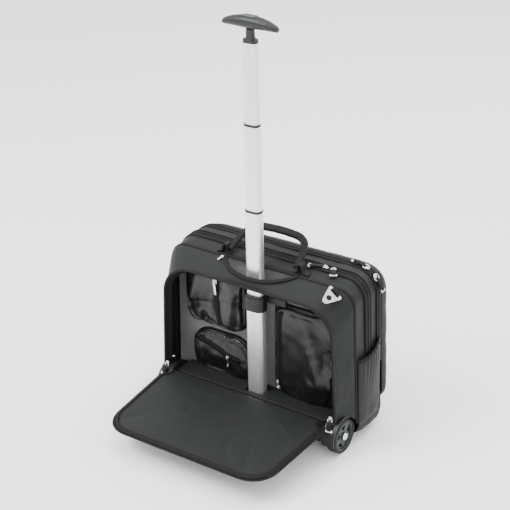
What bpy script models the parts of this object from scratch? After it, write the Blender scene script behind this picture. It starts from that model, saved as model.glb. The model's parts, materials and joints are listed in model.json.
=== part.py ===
"""Rolling laptop case: a soft bag on a moulded base with two wheels and a three-stage trolley handle.

Units are metres and +Z is up. The bag stands on the floor with its front flap open and its handle pulled out.
Y runs from the front opening to the back, and X across the case.
"""

import math

import bmesh
import bpy
from mathutils import Matrix, Vector

# Driving dimensions
CASE_WIDTH = 0.450
SEAM_HEIGHT = 0.339
FLOOR_GAP = 0.016
FRONT_DEPTH = 0.052
MAIN_DEPTH = 0.104
REAR_DEPTH = 0.035
FLAP_LENGTH = 0.233
FLAP_THICKNESS = 0.012
FLAP_HALF_WIDTH = 0.2025
FLAP_TAPER = 0.009
FLAP_CORNER = 0.056
HINGE_HEIGHT = 0.069
RIVET_REACH = 0.105
RIVET_LEFT_X = -0.080
RIVET_RIGHT_X = 0.018
WALL = 0.003
GAP = 0.0003
SEAM_GAP = 0.0012

# Trolley: width and depth of each tube, outermost first, and the height of its top
TUBE_SIZES = [(0.039, 0.027), (0.036, 0.024), (0.033, 0.021), (0.030, 0.018)]
TUBE_TOPS = [0.2815, 0.467, 0.643, 0.800]
TUBE_WALL = 0.001
TUBE_OVERLAP = 0.040
TUBE_FOOT = 0.034
RING_HEIGHT = 0.004
GRIP_HEIGHT = 0.8395
GRIP_WIDTH = 0.120
ROD_RADIUS = 0.0022
ROD_BORE = 0.0040
PIN_RADIUS = 0.0022

# Wheels
WHEEL_RADIUS = 0.036
WHEEL_WIDTH = 0.022
WHEEL_X = 0.208
HUB_RADIUS = 0.0295
AXLE_RADIUS = 0.004

SEAM_X = CASE_WIDTH / 2
MAIN_BACK = FRONT_DEPTH + MAIN_DEPTH
CASE_BACK = MAIN_BACK + REAR_DEPTH
TUBE_Y = 0.036
WHEEL_Y = 0.019
HINGE_Y = -0.001
FLAP_SLOPE = math.radians(4.0)
FLAP_REACH = FLAP_LENGTH * math.cos(FLAP_SLOPE) - HINGE_Y + 0.0022
# The origin is under the middle of the case and its open flap together
Y_SHIFT = (FLAP_REACH - CASE_BACK) / 2


def place(x, y, z):
    """A point given from the middle of the front opening's plane, in the part's frame."""
    return Vector((x, y + Y_SHIFT, z))


# ---------------------------------------------------------------- materials


def material(name, colour, roughness, metallic=0.0):
    found = bpy.data.materials.get(name)
    if found:
        return found
    made = bpy.data.materials.new(name)
    made.use_nodes = True
    shader = made.node_tree.nodes["Principled BSDF"]
    shader.inputs["Base Color"].default_value = (*colour, 1.0)
    shader.inputs["Roughness"].default_value = roughness
    shader.inputs["Metallic"].default_value = metallic
    return made


def fabric():
    return material("shell_fabric", (0.045, 0.048, 0.049), 0.75)


def nylon():
    return material("pocket_nylon", (0.012, 0.013, 0.014), 0.35)


def lining():
    return material("grey_lining", (0.13, 0.13, 0.13), 0.8)


def piping():
    return material("black_trim", (0.010, 0.010, 0.011), 0.55)


def plastic():
    return material("black_plastic", (0.020, 0.021, 0.022), 0.45)


def wheel_plastic():
    return material("wheel_plastic", (0.040, 0.052, 0.050), 0.4)


def rubber():
    return material("tyre_rubber", (0.012, 0.013, 0.013), 0.7)


def aluminium():
    return material("tube_aluminium", (0.80, 0.80, 0.79), 0.3, 0.9)


def bright_metal():
    return material("bright_metal", (0.75, 0.75, 0.74), 0.22, 1.0)


def foam():
    return material("padding_foam", (0.06, 0.06, 0.065), 0.9)


# ---------------------------------------------------------------- building blocks


def clear_scene():
    for item in list(bpy.data.objects):
        bpy.data.objects.remove(item)


def collection(name):
    made = bpy.data.collections.new(name)
    bpy.context.scene.collection.children.link(made)
    return made


def add(name, data, look, smooth=True):
    """A new object in the case's collection."""
    part = bpy.data.objects.new(name, data)
    bpy.data.collections["rolling_laptop_case"].objects.link(part)
    data.materials.append(look)
    if smooth and isinstance(data, bpy.types.Mesh):
        data.shade_smooth()
        data.set_sharp_from_angle(angle=math.radians(35))
    return part


def mesh_of(name, work):
    bmesh.ops.recalc_face_normals(work, faces=work.faces)
    data = bpy.data.meshes.new(name)
    work.to_mesh(data)
    work.free()
    return data


def cutter(name, data):
    """An object that only cuts others."""
    tool = bpy.data.objects.new(name, data)
    bpy.data.collections["cutters"].objects.link(tool)
    tool.hide_render = True
    tool.display_type = "WIRE"
    return tool


def cut(part, tool, operation="DIFFERENCE"):
    boolean = part.modifiers.new(tool.name, "BOOLEAN")
    boolean.operation = operation
    boolean.solver = "EXACT"
    boolean.object = tool
    return part


def bevel(part, width, segments=2, angle=40):
    rounding = part.modifiers.new("rounded_edges", "BEVEL")
    rounding.width = width
    rounding.segments = segments
    rounding.limit_method = "ANGLE"
    rounding.angle_limit = math.radians(angle)
    return part


def box_mesh(name, low, high):
    work = bmesh.new()
    middle = (Vector(low) + Vector(high)) / 2
    size = Vector(high) - Vector(low)
    bmesh.ops.create_cube(work, size=1.0, matrix=Matrix.Translation(middle) @ Matrix.Diagonal((*size, 1.0)))
    return mesh_of(name, work)


def cylinder_mesh(name, radius, start, end, segments=32, end_radius=None):
    """A cylinder or cone between two points."""
    start, end = Vector(start), Vector(end)
    along = end - start
    turn = Vector((0, 0, 1)).rotation_difference(along).to_matrix().to_4x4()
    work = bmesh.new()
    bmesh.ops.create_cone(
        work,
        cap_ends=True,
        segments=segments,
        radius1=radius,
        radius2=radius if end_radius is None else end_radius,
        depth=along.length,
        matrix=Matrix.Translation((start + end) / 2) @ turn,
    )
    return mesh_of(name, work)


def arc(centre, radius, first, last, steps):
    """Points of an arc in a plane, angles in degrees."""
    points = []
    for step in range(steps + 1):
        angle = math.radians(first + (last - first) * step / steps)
        points.append((centre[0] + radius * math.cos(angle), centre[1] + radius * math.sin(angle)))
    return points


def rounded_rectangle(width, depth, radius, steps=4):
    """Outline of a rounded rectangle about the origin."""
    across, along = width / 2 - radius, depth / 2 - radius
    outline = []
    corners = [(across, along), (-across, along), (-across, -along), (across, -along)]
    for quarter, (x, y) in enumerate(corners):
        outline += arc((x, y), radius, 90 * quarter, 90 * quarter + 90, steps)
    return outline


def case_outline(half_bottom, half_top, bottom, top, corner, foot=0.024, steps=6):
    """Upright outline of the case in X and Z, counted round from the lower right corner."""
    right = [(half_bottom - foot, bottom), (half_bottom - foot * 0.3, bottom + foot * 0.3)]
    right += [(half_bottom, bottom + foot)]
    right += arc((half_top - corner, top - corner), corner, 0, 90, steps)
    left = [(-x, z) for x, z in reversed(right)]
    return right + left


def loft_mesh(name, loops, caps=(False, False)):
    """A skin over rings of equally many points."""
    work = bmesh.new()
    rings = [[work.verts.new(point) for point in loop] for loop in loops]
    for one, other in zip(rings, rings[1:]):
        for index in range(len(one)):
            following = (index + 1) % len(one)
            work.faces.new((one[index], one[following], other[following], other[index]))
    if caps[0]:
        work.faces.new(rings[0])
    if caps[1]:
        work.faces.new(reversed(rings[-1]))
    return work


def outward(work, inside):
    """Faces of an open skin turned away from an inner point."""
    bmesh.ops.recalc_face_normals(work, faces=work.faces)
    work.faces.ensure_lookup_table()
    face = work.faces[0]
    if face.normal.dot(face.calc_center_median() - Vector(inside)) < 0:
        bmesh.ops.reverse_faces(work, faces=work.faces)


def prism_curve(name, outlines, thickness):
    """A flat plate in X and Y with holes, as a filled 2D curve."""
    data = bpy.data.curves.new(name, "CURVE")
    data.dimensions = "2D"
    data.fill_mode = "BOTH"
    data.extrude = thickness / 2
    for outline in outlines:
        spline = data.splines.new("POLY")
        spline.points.add(len(outline) - 1)
        for point, (x, y) in zip(spline.points, outline):
            point.co = (x, y, 0, 1)
        spline.use_cyclic_u = True
    return data


def plate_mesh(name, outlines, thickness, matrix):
    """A plate with holes as a mesh in place."""
    curve = bpy.data.objects.new(name + "_outline", prism_curve(name, outlines, thickness))
    bpy.context.scene.collection.objects.link(curve)
    bpy.context.view_layer.update()
    shape = bpy.data.meshes.new_from_object(curve.evaluated_get(bpy.context.evaluated_depsgraph_get()))
    work = bmesh.new()
    work.from_mesh(shape)
    bmesh.ops.remove_doubles(work, verts=work.verts, dist=0.000001)
    bmesh.ops.transform(work, matrix=matrix, verts=work.verts)
    bpy.data.objects.remove(curve)
    return mesh_of(name, work)


def prism(name, outlines, thickness, matrix, look):
    """A plate with holes as a part of its own."""
    return add(name, plate_mesh(name, outlines, thickness, matrix), look)


def upright(x=0.0, y=0.0, z=0.0):
    """Matrix that stands a plate drawn in X and Y up in the X and Z plane."""
    return Matrix.Translation(place(x, y, z)) @ Matrix.Rotation(math.radians(90), 4, "X")


def cord(name, points, radius, look, cyclic=False, resolution=2):
    """A round piping, wire or handle along points."""
    data = bpy.data.curves.new(name, "CURVE")
    data.dimensions = "3D"
    data.bevel_depth = radius
    data.bevel_resolution = resolution
    data.use_fill_caps = not cyclic
    spline = data.splines.new("POLY")
    spline.points.add(len(points) - 1)
    for target, point in zip(spline.points, points):
        target.co = (*point, 1)
    spline.use_cyclic_u = cyclic
    return add(name, data, look)


# ---------------------------------------------------------------- bag shells

# Upright sections of the case: depth, half width below and above, bottom, top and corner radius
FRONT_SECTIONS = [
    (0.000, 0.2085, 0.1985, 0.016, 0.3130, 0.066),
    (0.016, 0.2140, 0.2045, 0.016, 0.3240, 0.058),
    (0.033, 0.2200, 0.2115, 0.016, 0.3335, 0.046),
    (0.045, 0.2250, 0.2175, 0.016, SEAM_HEIGHT, 0.036),
    (FRONT_DEPTH - SEAM_GAP, 0.2250, 0.2175, 0.016, SEAM_HEIGHT, 0.036),
]
MAIN_SECTIONS = [
    (FRONT_DEPTH + SEAM_GAP, 0.2250, 0.2175, 0.016, SEAM_HEIGHT, 0.036),
    (0.080, 0.2275, 0.2195, 0.010, 0.3455, 0.040),
    (0.112, 0.2275, 0.2200, 0.008, 0.3500, 0.044),
    (0.142, 0.2260, 0.2190, 0.008, 0.3490, 0.046),
    (MAIN_BACK - SEAM_GAP, 0.2210, 0.2150, 0.016, 0.3455, 0.048),
]
REAR_SECTIONS = [
    (MAIN_BACK + GAP, 0.2215, 0.2160, 0.050, 0.3460, 0.048),
    (0.169, 0.2240, 0.2180, 0.048, 0.3435, 0.046),
    (0.184, 0.2190, 0.2130, 0.054, 0.3365, 0.048),
    (CASE_BACK, 0.2040, 0.1980, 0.070, 0.3215, 0.052),
]


def section_loop(section):
    depth, half_bottom, half_top, bottom, top, corner = section
    return [place(x, depth, z) for x, z in case_outline(half_bottom, half_top, bottom, top, corner)]


def shell(name, sections, back, look):
    """A sewn panel skin of the wall's thickness, open towards the front and, without a back, behind too."""
    work = loft_mesh(name, [section_loop(section) for section in sections], (False, back))
    outward(work, place(0, sections[0][0] + 0.01, 0.16))
    data = bpy.data.meshes.new(name)
    work.to_mesh(data)
    work.free()
    part = add(name, data, look)
    thickness = part.modifiers.new("wall", "SOLIDIFY")
    thickness.thickness = WALL
    thickness.offset = -1
    thickness.use_even_offset = True
    return part


def slot_cutter():
    """The zipped slot that the trolley handle comes out of, gaping forwards in the middle."""
    middle, half, gape = 0.003, 0.086, 0.042
    back = FRONT_DEPTH + 0.004
    outline = [(middle + half, back), (middle - half, back)]
    for step in range(17):
        across = -1 + step / 8
        lip = FRONT_DEPTH - 0.0015 - gape * (1 - abs(across) ** 2.4)
        outline.append((middle + half * across * 0.999, lip))
    matrix = Matrix.Translation(place(0, 0, SEAM_HEIGHT))
    return cutter("slot_cutter", plate_mesh("slot_cutter", [outline], 0.08, matrix))


def wheel_well_cutter(side):
    name = "wheel_well_" + ("right" if side > 0 else "left")
    start = place(side * (HOUSING_INNER_X - 0.0006), WHEEL_Y, WHEEL_RADIUS)
    end = place(side * 0.262, WHEEL_Y, WHEEL_RADIUS)
    return cutter(name, cylinder_mesh(name, HOUSING_RADIUS + 0.0006, start, end, 40))


def bag_shells():
    wells = [wheel_well_cutter(side) for side in (1, -1)]
    front = shell("front_section", FRONT_SECTIONS, False, fabric())
    cut(front, slot_cutter())
    main = shell("main_compartment", MAIN_SECTIONS, True, fabric())
    for well in wells:
        cut(front, well)
        cut(main, well)
    strip = box_mesh("front_floor", place(-0.210, -0.01, 0.0), place(0.210, FRONT_DEPTH, 0.030))
    cut(front, cutter("front_floor", strip))
    shell("rear_compartment", REAR_SECTIONS, True, fabric())


def rim_point_list(inset=0.0, depth=0.0):
    """The arch of the front opening, from the right foot over the top to the left foot."""
    _, half_bottom, half_top, _, top, corner = FRONT_SECTIONS[0]
    arch = [(half_bottom - inset, HOUSING_TOP)]
    arch += arc((half_top - corner, top - corner), corner - inset, 0, 90, 8)
    arch += [(-x, z) for x, z in reversed(arch)]
    return [place(x, depth, z) for x, z in arch]


def trims():
    """Piping along the front opening and the main seam."""
    cord("front_piping", rim_point_list(0.001, -0.0030), 0.0026, piping())
    stand = 0.0026
    _, half_bottom, half_top, bottom, top, corner = MAIN_SECTIONS[0]
    seam = case_outline(half_bottom + stand, half_top + stand, bottom, top + stand, corner + stand)
    loop = [place(x, FRONT_DEPTH, z) for x, z in seam[2:-2]]
    cord("seam_piping", loop, 0.0022, piping())


# ---------------------------------------------------------------- base, wheels and feet

HOUSING_RADIUS = 0.0415
HOUSING_INNER_X = 0.1895
HOUSING_OUTER_X = 0.2170
HOUSING_TOP = WHEEL_RADIUS + HOUSING_RADIUS + 0.001


def base_tray():
    """Moulded tray on the floor of the front section and the main compartment."""
    floor = FLOOR_GAP + WALL + 0.002
    tray = add(
        "base_tray",
        box_mesh("base_tray", place(-0.1840, 0.0075, floor), place(0.1840, 0.136, 0.044)),
        plastic(),
        smooth=False,
    )
    hollow = box_mesh("tray_hollow", place(-0.1805, 0.0110, floor + 0.003), place(0.1805, 0.1325, 0.09))
    cut(tray, cutter("tray_hollow", hollow))


def front_sill():
    """Moulded skid along the lower front edge, between the wheels and under the flap's hinge."""
    top = HINGE_HEIGHT - FLAP_THICKNESS / 2 - 0.002
    outside = [(0.0500, 0.0160), (0.0060, 0.0160), (-0.0005, 0.0185), (-0.0030, 0.0250), (-0.0030, top)]
    inside = [(0.0, top), (0.0, 0.0262), (0.0016, 0.0216), (0.0068, 0.0190), (0.0500, 0.0190)]
    half = HOUSING_INNER_X - 0.0012
    loops = [[place(x, y, z) for y, z in outside + inside] for x in (-half, half)]
    sill = add("front_sill", mesh_of("front_sill", loft_mesh("front_sill", loops, (True, True))), plastic())
    return sill


def wheel_housing(side):
    """Cup over the inner and upper side of a wheel, with the boss that holds the axle."""
    name = "wheel_housing_" + ("right" if side > 0 else "left")
    start = place(side * HOUSING_INNER_X, WHEEL_Y, WHEEL_RADIUS)
    end = place(side * HOUSING_OUTER_X, WHEEL_Y, WHEEL_RADIUS)
    cup = add(name, cylinder_mesh(name, HOUSING_RADIUS, start, end, 40), plastic())
    hollow_start = place(side * (HOUSING_INNER_X + 0.003), WHEEL_Y, WHEEL_RADIUS)
    hollow_end = place(side * 0.262, WHEEL_Y, WHEEL_RADIUS)
    hollow = cylinder_mesh(name + "_hollow", WHEEL_RADIUS + 0.002, hollow_start, hollow_end, 40)
    cut(cup, cutter(name + "_hollow", hollow))
    low = place(side * 0.180, -0.060, -0.020)
    high = place(side * 0.262, 0.090, 0.030)
    corners = [tuple(min(a, b) for a, b in zip(low, high)), tuple(max(a, b) for a, b in zip(low, high))]
    cut(cup, cutter(name + "_below", box_mesh(name + "_below", *corners)))
    hole = cylinder_mesh(
        name + "_hole",
        AXLE_RADIUS + GAP,
        place(side * 0.180, WHEEL_Y, WHEEL_RADIUS),
        place(side * 0.200, WHEEL_Y, WHEEL_RADIUS),
        24,
    )
    cut(cup, cutter(name + "_hole", hole))


def turned(name, profile, side, look, segments=40):
    """A solid of revolution about the wheel's axle. The profile is (distance along the axle, radius)."""
    work = bmesh.new()
    ring = [work.verts.new((radius, 0.0, along)) for along, radius in profile]
    edges = [work.edges.new((one, other)) for one, other in zip(ring, ring[1:] + ring[:1])]
    data = bpy.data.meshes.new(name)
    bmesh.ops.spin(
        work,
        geom=ring + edges,
        cent=(0, 0, 0),
        axis=(0, 0, 1),
        angle=math.tau,
        steps=segments,
        use_merge=True,
    )
    bmesh.ops.remove_doubles(work, verts=work.verts, dist=0.000001)
    bmesh.ops.recalc_face_normals(work, faces=work.faces)
    turn = Matrix.Rotation(math.radians(90 * side), 4, "Y")
    bmesh.ops.transform(work, matrix=turn, verts=work.verts)
    work.to_mesh(data)
    work.free()
    part = add(name, data, look)
    part.location = place(side * WHEEL_X, WHEEL_Y, WHEEL_RADIUS)
    return part


def wheel(side):
    """Tyre, five-spoked hub and axle bolt. Along the axle, positive is away from the case."""
    tag = "right" if side > 0 else "left"
    half = WHEEL_WIDTH / 2
    tyre_profile = [
        (-half, HUB_RADIUS + GAP),
        (-half, WHEEL_RADIUS - 0.002),
        (-half + 0.002, WHEEL_RADIUS),
        (half - 0.002, WHEEL_RADIUS),
        (half, WHEEL_RADIUS - 0.002),
        (half, HUB_RADIUS + GAP),
    ]
    turned("tyre_" + tag, tyre_profile, side, rubber(), 48)
    bore = AXLE_RADIUS + GAP
    hub_profile = [
        (-half + 0.001, bore),
        (-half + 0.001, 0.009),
        (0.003, 0.0095),
        (0.003, HUB_RADIUS - 0.003),
        (-half + 0.001, HUB_RADIUS - 0.003),
        (-half + 0.001, HUB_RADIUS),
        (half - 0.001, HUB_RADIUS),
        (half - 0.001, HUB_RADIUS - 0.003),
        (half - 0.004, HUB_RADIUS - 0.004),
        (half - 0.003, 0.0095),
        (half - 0.001, 0.009),
        (half - 0.001, bore),
    ]
    hub = turned("wheel_hub_" + tag, hub_profile, side, wheel_plastic(), 40)
    for spoke in range(5):
        angle = math.radians(90 + 72 * spoke)
        triangle = [arc((0, 0), 0.0225, -22, 22, 4), [(0.0125, 0.0)]]
        outline = [point for stretch in triangle for point in stretch]
        turned_outline = [
            (x * math.cos(angle) - y * math.sin(angle), x * math.sin(angle) + y * math.cos(angle))
            for x, y in outline
        ]
        name = f"spoke_window_{tag}_{spoke + 1}"
        loops = [
            [(0.040 * end, x, y) for x, y in turned_outline] for end in (-1, 1)
        ]
        work = loft_mesh(name, loops, (True, True))
        tool = cutter(name, mesh_of(name, work))
        tool.location = place(side * WHEEL_X, WHEEL_Y, WHEEL_RADIUS)
        cut(hub, tool)
    head = 0.0078
    axle_profile = [
        (-0.0225, 0.0),
        (-0.0225, AXLE_RADIUS),
        (half + 0.0003, AXLE_RADIUS),
        (half + 0.0003, head),
        (half + 0.0022, head - 0.001),
        (half + 0.0030, 0.0),
    ]
    work = bmesh.new()
    ring = [work.verts.new((radius, 0.0, along)) for along, radius in axle_profile]
    edges = [work.edges.new((one, other)) for one, other in zip(ring, ring[1:])]
    bmesh.ops.spin(work, geom=ring + edges, cent=(0, 0, 0), axis=(0, 0, 1), angle=math.tau, steps=24)
    bmesh.ops.remove_doubles(work, verts=work.verts, dist=0.000001)
    turn = Matrix.Rotation(math.radians(90 * side), 4, "Y")
    bmesh.ops.transform(work, matrix=turn, verts=work.verts)
    part = add("axle_" + tag, mesh_of("axle_" + tag, work), bright_metal())
    part.location = place(side * WHEEL_X, WHEEL_Y, WHEEL_RADIUS)


def rear_foot(side):
    name = "rear_foot_" + ("right" if side > 0 else "left")
    base = place(side * 0.150, 0.130, 0.0)
    top = place(side * 0.150, 0.130, MAIN_SECTIONS[2][3] - GAP)
    return add(name, cylinder_mesh(name, 0.013, base, top, 24, 0.017), rubber())


# ---------------------------------------------------------------- lining, pockets and padding

LINING_Y = 0.064


def inner_panels():
    inside = case_outline(0.2190, 0.2120, 0.0505, 0.3340, 0.034)
    prism("lining_board", [inside], 0.0030, upright(0, LINING_Y + 0.0015), lining())
    sleeve = add(
        "laptop_sleeve",
        box_mesh("laptop_sleeve", place(-0.190, 0.076, 0.050), place(0.190, 0.106, 0.314)),
        foam(),
        smooth=False,
    )
    bevel(sleeve, 0.006, 2)
    pad = box_mesh("divider_pad", place(-0.200, 0.112, 0.050), place(0.200, 0.118, 0.322))
    bevel(add("divider_pad", pad, foam(), smooth=False), 0.002, 1)
    organiser = box_mesh("organiser_panel", place(-0.180, 0.162, 0.080), place(0.180, 0.166, 0.308))
    add("organiser_panel", organiser, nylon(), smooth=False)


def pouch(name, outline, thickness, x, y, z, look):
    """A flat patch pocket standing off the lining towards the front."""
    part = prism(name, [outline], thickness, upright(x, y - thickness / 2, z), look)
    bevel(part, min(0.005, thickness * 0.3), 2)
    return part


def arched(width, height, radius_top, radius_bottom):
    """Outline of a pocket from its lower middle, with unlike corners above and below."""
    half = width / 2
    points = arc((half - radius_bottom, radius_bottom), radius_bottom, -90, 0, 4)
    points += arc((half - radius_top, height - radius_top), radius_top, 0, 90, 5)
    return points + [(-x, z) for x, z in reversed(points)]


def pockets():
    face = LINING_Y - GAP
    pouch("upper_pocket", arched(0.136, 0.126, 0.016, 0.024), 0.022, -0.114, face, 0.172, nylon())
    pouch("lower_pocket", arched(0.142, 0.092, 0.040, 0.012), 0.020, -0.101, face, 0.060, nylon())
    pouch("right_pocket", arched(0.142, 0.202, 0.022, 0.016), 0.022, 0.106, face, 0.060, nylon())


def side_pocket(side):
    """Open-topped pouch on the side of the main compartment."""
    name = "side_pocket_" + ("right" if side > 0 else "left")
    front, back = 0.058, 0.138
    heights = [0.042, 0.090, 0.145, 0.188]
    bulge = [0.0060, 0.0100, 0.0105, 0.0095]
    work = bmesh.new()
    rows = []
    for level, (height, out) in enumerate(zip(heights, bulge)):
        row = []
        for step in range(7):
            share = step / 6
            depth = front + (back - front) * share
            rise = 0.020 * share if level == 3 else 0.0
            swell = out * math.sin(math.pi * (0.12 + 0.76 * share))
            base = 0.2283
            row.append(work.verts.new(place(side * (base + swell), depth, height + rise)))
        rows.append(row)
    for lower, upper in zip(rows, rows[1:]):
        for index in range(6):
            work.faces.new((lower[index], lower[index + 1], upper[index + 1], upper[index]))
    outward(work, place(0, 0.1, 0.1))
    data = bpy.data.meshes.new(name)
    work.to_mesh(data)
    work.free()
    part = add(name, data, fabric())
    wall = part.modifiers.new("wall", "SOLIDIFY")
    wall.thickness = 0.0015
    wall.offset = 1
    return part


# ---------------------------------------------------------------- trolley handle


def oval_tube(name, size, bottom, top, wall, look, inner=None):
    """A flattened tube standing upright at the trolley's axis."""
    width, depth = size
    outer = rounded_rectangle(width, depth, depth * 0.42)
    if inner is None:
        inner = (width - 2 * wall, depth - 2 * wall)
    hole = list(reversed(rounded_rectangle(*inner, inner[1] * 0.42)))
    matrix = Matrix.Translation(place(0, TUBE_Y, (bottom + top) / 2))
    return prism(name, [outer, hole], top - bottom, matrix, look)


def trolley():
    names = ["fixed_tube", "lower_stage_tube", "middle_stage_tube", "upper_stage_tube"]
    pins = ["lock_pin_fixed", "lock_pin_lower", "lock_pin_middle", "lock_pin_upper"]
    drops = [0.040, 0.034, 0.037, 0.010]
    for level, (name, size) in enumerate(zip(names, TUBE_SIZES)):
        bottom = TUBE_FOOT if level == 0 else TUBE_TOPS[level - 1] - TUBE_OVERLAP
        top = TUBE_TOPS[level] - (0 if level in (0, 3) else RING_HEIGHT + GAP)
        tube = oval_tube(name, size, bottom, top, TUBE_WALL, aluminium())
        height = TUBE_TOPS[level] - drops[level]
        front = TUBE_Y - size[1] / 2
        start, end = place(0, front - 0.01, height), place(0, front + 0.005, height)
        hole = cylinder_mesh(pins[level] + "_hole", PIN_RADIUS + 0.0004, start, end, 16)
        cut(tube, cutter(pins[level] + "_hole", hole))
        start, end = place(0, front - 0.0003, height), place(0, front + 0.0009, height)
        pin = cylinder_mesh(pins[level], PIN_RADIUS, start, end, 16)
        add(pins[level], pin, bright_metal())
    for level, name in ((1, "lower_stage_ring"), (2, "middle_stage_ring")):
        inner = tuple(side + 0.0006 for side in TUBE_SIZES[level + 1])
        top = TUBE_TOPS[level]
        oval_tube(name, TUBE_SIZES[level], top - RING_HEIGHT, top, 0, plastic(), inner)
    collar_inner = tuple(side + 0.0006 for side in TUBE_SIZES[0])
    collar = oval_tube("tube_collar", (0.046, 0.034), 0.2515, 0.2810, 0, plastic(), collar_inner)
    wing = box_mesh("collar_wing", place(0.020, 0.0455, 0.2665), place(0.064, 0.0528, 0.2800))
    cut(collar, cutter("collar_wing", wing), "UNION")
    cap_inner = tuple(side + 0.0006 for side in TUBE_SIZES[1])
    oval_tube("collar_cap", (0.045, 0.033), 0.2818, 0.2850, 0, plastic(), cap_inner)
    foot = add(
        "tube_foot",
        box_mesh("tube_foot", place(-0.032, 0.018, 0.0243), place(0.032, 0.054, 0.046)),
        plastic(),
        smooth=False,
    )
    bevel(foot, 0.002, 1, 60)
    cut(foot, cutter("tube_socket", prism_socket("tube_socket", TUBE_FOOT)))


def prism_socket(name, bottom):
    """Space in the foot for the fixed tube."""
    width, depth = TUBE_SIZES[0]
    outline = rounded_rectangle(width + 2 * GAP, depth + 2 * GAP, depth * 0.42)
    loops = [
        [place(x, TUBE_Y + y, height) for x, y in outline] for height in (bottom - GAP, 0.060)
    ]
    return mesh_of(name, loft_mesh(name, loops, (True, True)))


def grip_loop(share, steps=16):
    """Section of the T grip at a share of its half length, from -1 to 1."""
    across = abs(share)
    half_depth = 0.0135 * math.sqrt(max(0.0, 1 - 0.86 * across**2.4))
    upper = 0.0115 * math.sqrt(max(0.0, 1 - 0.80 * across**2.6))
    lower = 0.0135 * (1 - 0.66 * across**1.4)
    droop = -0.0075 * across**2
    loop = []
    for step in range(steps):
        angle = math.tau * step / steps
        height = math.sin(angle)
        rise = upper * height if height > 0 else lower * height
        depth = half_depth * math.cos(angle)
        loop.append(place(share * GRIP_WIDTH / 2, TUBE_Y + depth, GRIP_HEIGHT + droop + rise))
    return loop


def grip():
    shares = [-1, -0.96, -0.85, -0.65, -0.42, -0.2, 0, 0.2, 0.42, 0.65, 0.85, 0.96, 1]
    work = loft_mesh("t_grip", [grip_loop(share) for share in shares], (True, True))
    handle = add("t_grip", mesh_of("t_grip", work), plastic())
    top = GRIP_HEIGHT + 0.0115
    pit_outline = rounded_rectangle(0.0352, 0.0152, 0.0074)
    pit_loops = []
    for height in (top - 0.0115, top + 0.02):
        pit_loops.append([place(x, TUBE_Y + y, height) for x, y in pit_outline])
    cut(handle, cutter("button_pit", mesh_of("button_pit", loft_mesh("button_pit", pit_loops, (True, True)))))
    start, end = place(0, TUBE_Y, GRIP_HEIGHT - 0.03), place(0, TUBE_Y, GRIP_HEIGHT + 0.005)
    bore = cylinder_mesh("rod_bore", ROD_BORE, start, end, 20)
    cut(handle, cutter("rod_bore", bore))
    button_outline = rounded_rectangle(0.0344, 0.0144, 0.0070)
    levels = [(top - 0.0035, 1.0), (top - 0.0010, 1.0), (top - 0.0002, 0.93)]
    loops = []
    for height, size in levels:
        loops.append([place(x * size, TUBE_Y + y * size, height) for x, y in button_outline])
    add("grip_button", mesh_of("grip_button", loft_mesh("grip_button", loops, (True, True))), wheel_plastic())
    start, end = place(0, TUBE_Y, TUBE_TOPS[2] + 0.006), place(0, TUBE_Y, top - 0.0038)
    rod = cylinder_mesh("release_rod", ROD_RADIUS, start, end, 12)
    add("release_rod", rod, bright_metal())
    coil = []
    turns, steps = 4, 12
    for step in range(turns * steps + 1):
        angle = math.tau * step / steps
        height = top - 0.0110 + 0.0062 * step / (turns * steps) + 0.0004
        coil.append(place(0.0034 * math.cos(angle), TUBE_Y + 0.0034 * math.sin(angle), height))
    cord("button_spring", coil, 0.00035, bright_metal(), resolution=1)
    stem()


def stem():
    """Plug in the top tube that narrows into the neck under the grip."""
    base = TUBE_TOPS[3]
    levels = [
        (base + GAP, 0.030, 0.018),
        (base + 0.0065, 0.030, 0.018),
        (base + 0.0080, 0.0185, 0.0145),
        (base + 0.0150, 0.0165, 0.0130),
        (base + 0.0165, 0.0180, 0.0140),
        (base + 0.0180, 0.0165, 0.0130),
        (GRIP_HEIGHT - 0.0138, 0.0165, 0.0130),
    ]
    loops = []
    for height, width, depth in levels:
        loops.append([place(x, TUBE_Y + y, height) for x, y in rounded_rectangle(width, depth, depth * 0.42)])
    neck = add("grip_stem", mesh_of("grip_stem", loft_mesh("grip_stem", loops, (True, True))), plastic())
    start, end = place(0, TUBE_Y, base - 0.01), place(0, TUBE_Y, GRIP_HEIGHT)
    bore = cylinder_mesh("stem_bore", ROD_BORE, start, end, 20)
    cut(neck, cutter("stem_bore", bore))


# ---------------------------------------------------------------- carry handle and rings

HANDLE_Y = 0.066
HANDLE_FOOT_Z = 0.3540


def carry_handle():
    """Padded handle that leans back over the main compartment."""
    lean = math.radians(60)
    length, half_foot, half_top, corner = 0.068, 0.079, 0.062, 0.024
    flat = [(half_foot, 0.0)]
    flat += arc((half_top - corner, length - corner), corner, 8, 90, 6)
    flat += [(-x, z) for x, z in reversed(flat)]
    points = []
    for x, rise in flat:
        points.append(place(x, HANDLE_Y + rise * math.sin(lean), HANDLE_FOOT_Z + rise * math.cos(lean)))
    cord("carry_handle", points, 0.0075, piping(), resolution=3)
    for side in (1, -1):
        name = "handle_anchor_" + ("right" if side > 0 else "left")
        block = box_mesh(name, (-0.004, -0.010, -0.0105), (0.004, 0.010, 0.0065))
        anchor = bevel(add(name, block, plastic(), smooth=False), 0.0015, 2)
        anchor.location = place(side * 0.093, HANDLE_Y, HANDLE_FOOT_Z)
        rise, run = MAIN_SECTIONS[1][4] - SEAM_HEIGHT, MAIN_SECTIONS[1][0] - FRONT_DEPTH
        anchor.rotation_euler = (math.atan2(rise, run), 0, 0)


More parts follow.
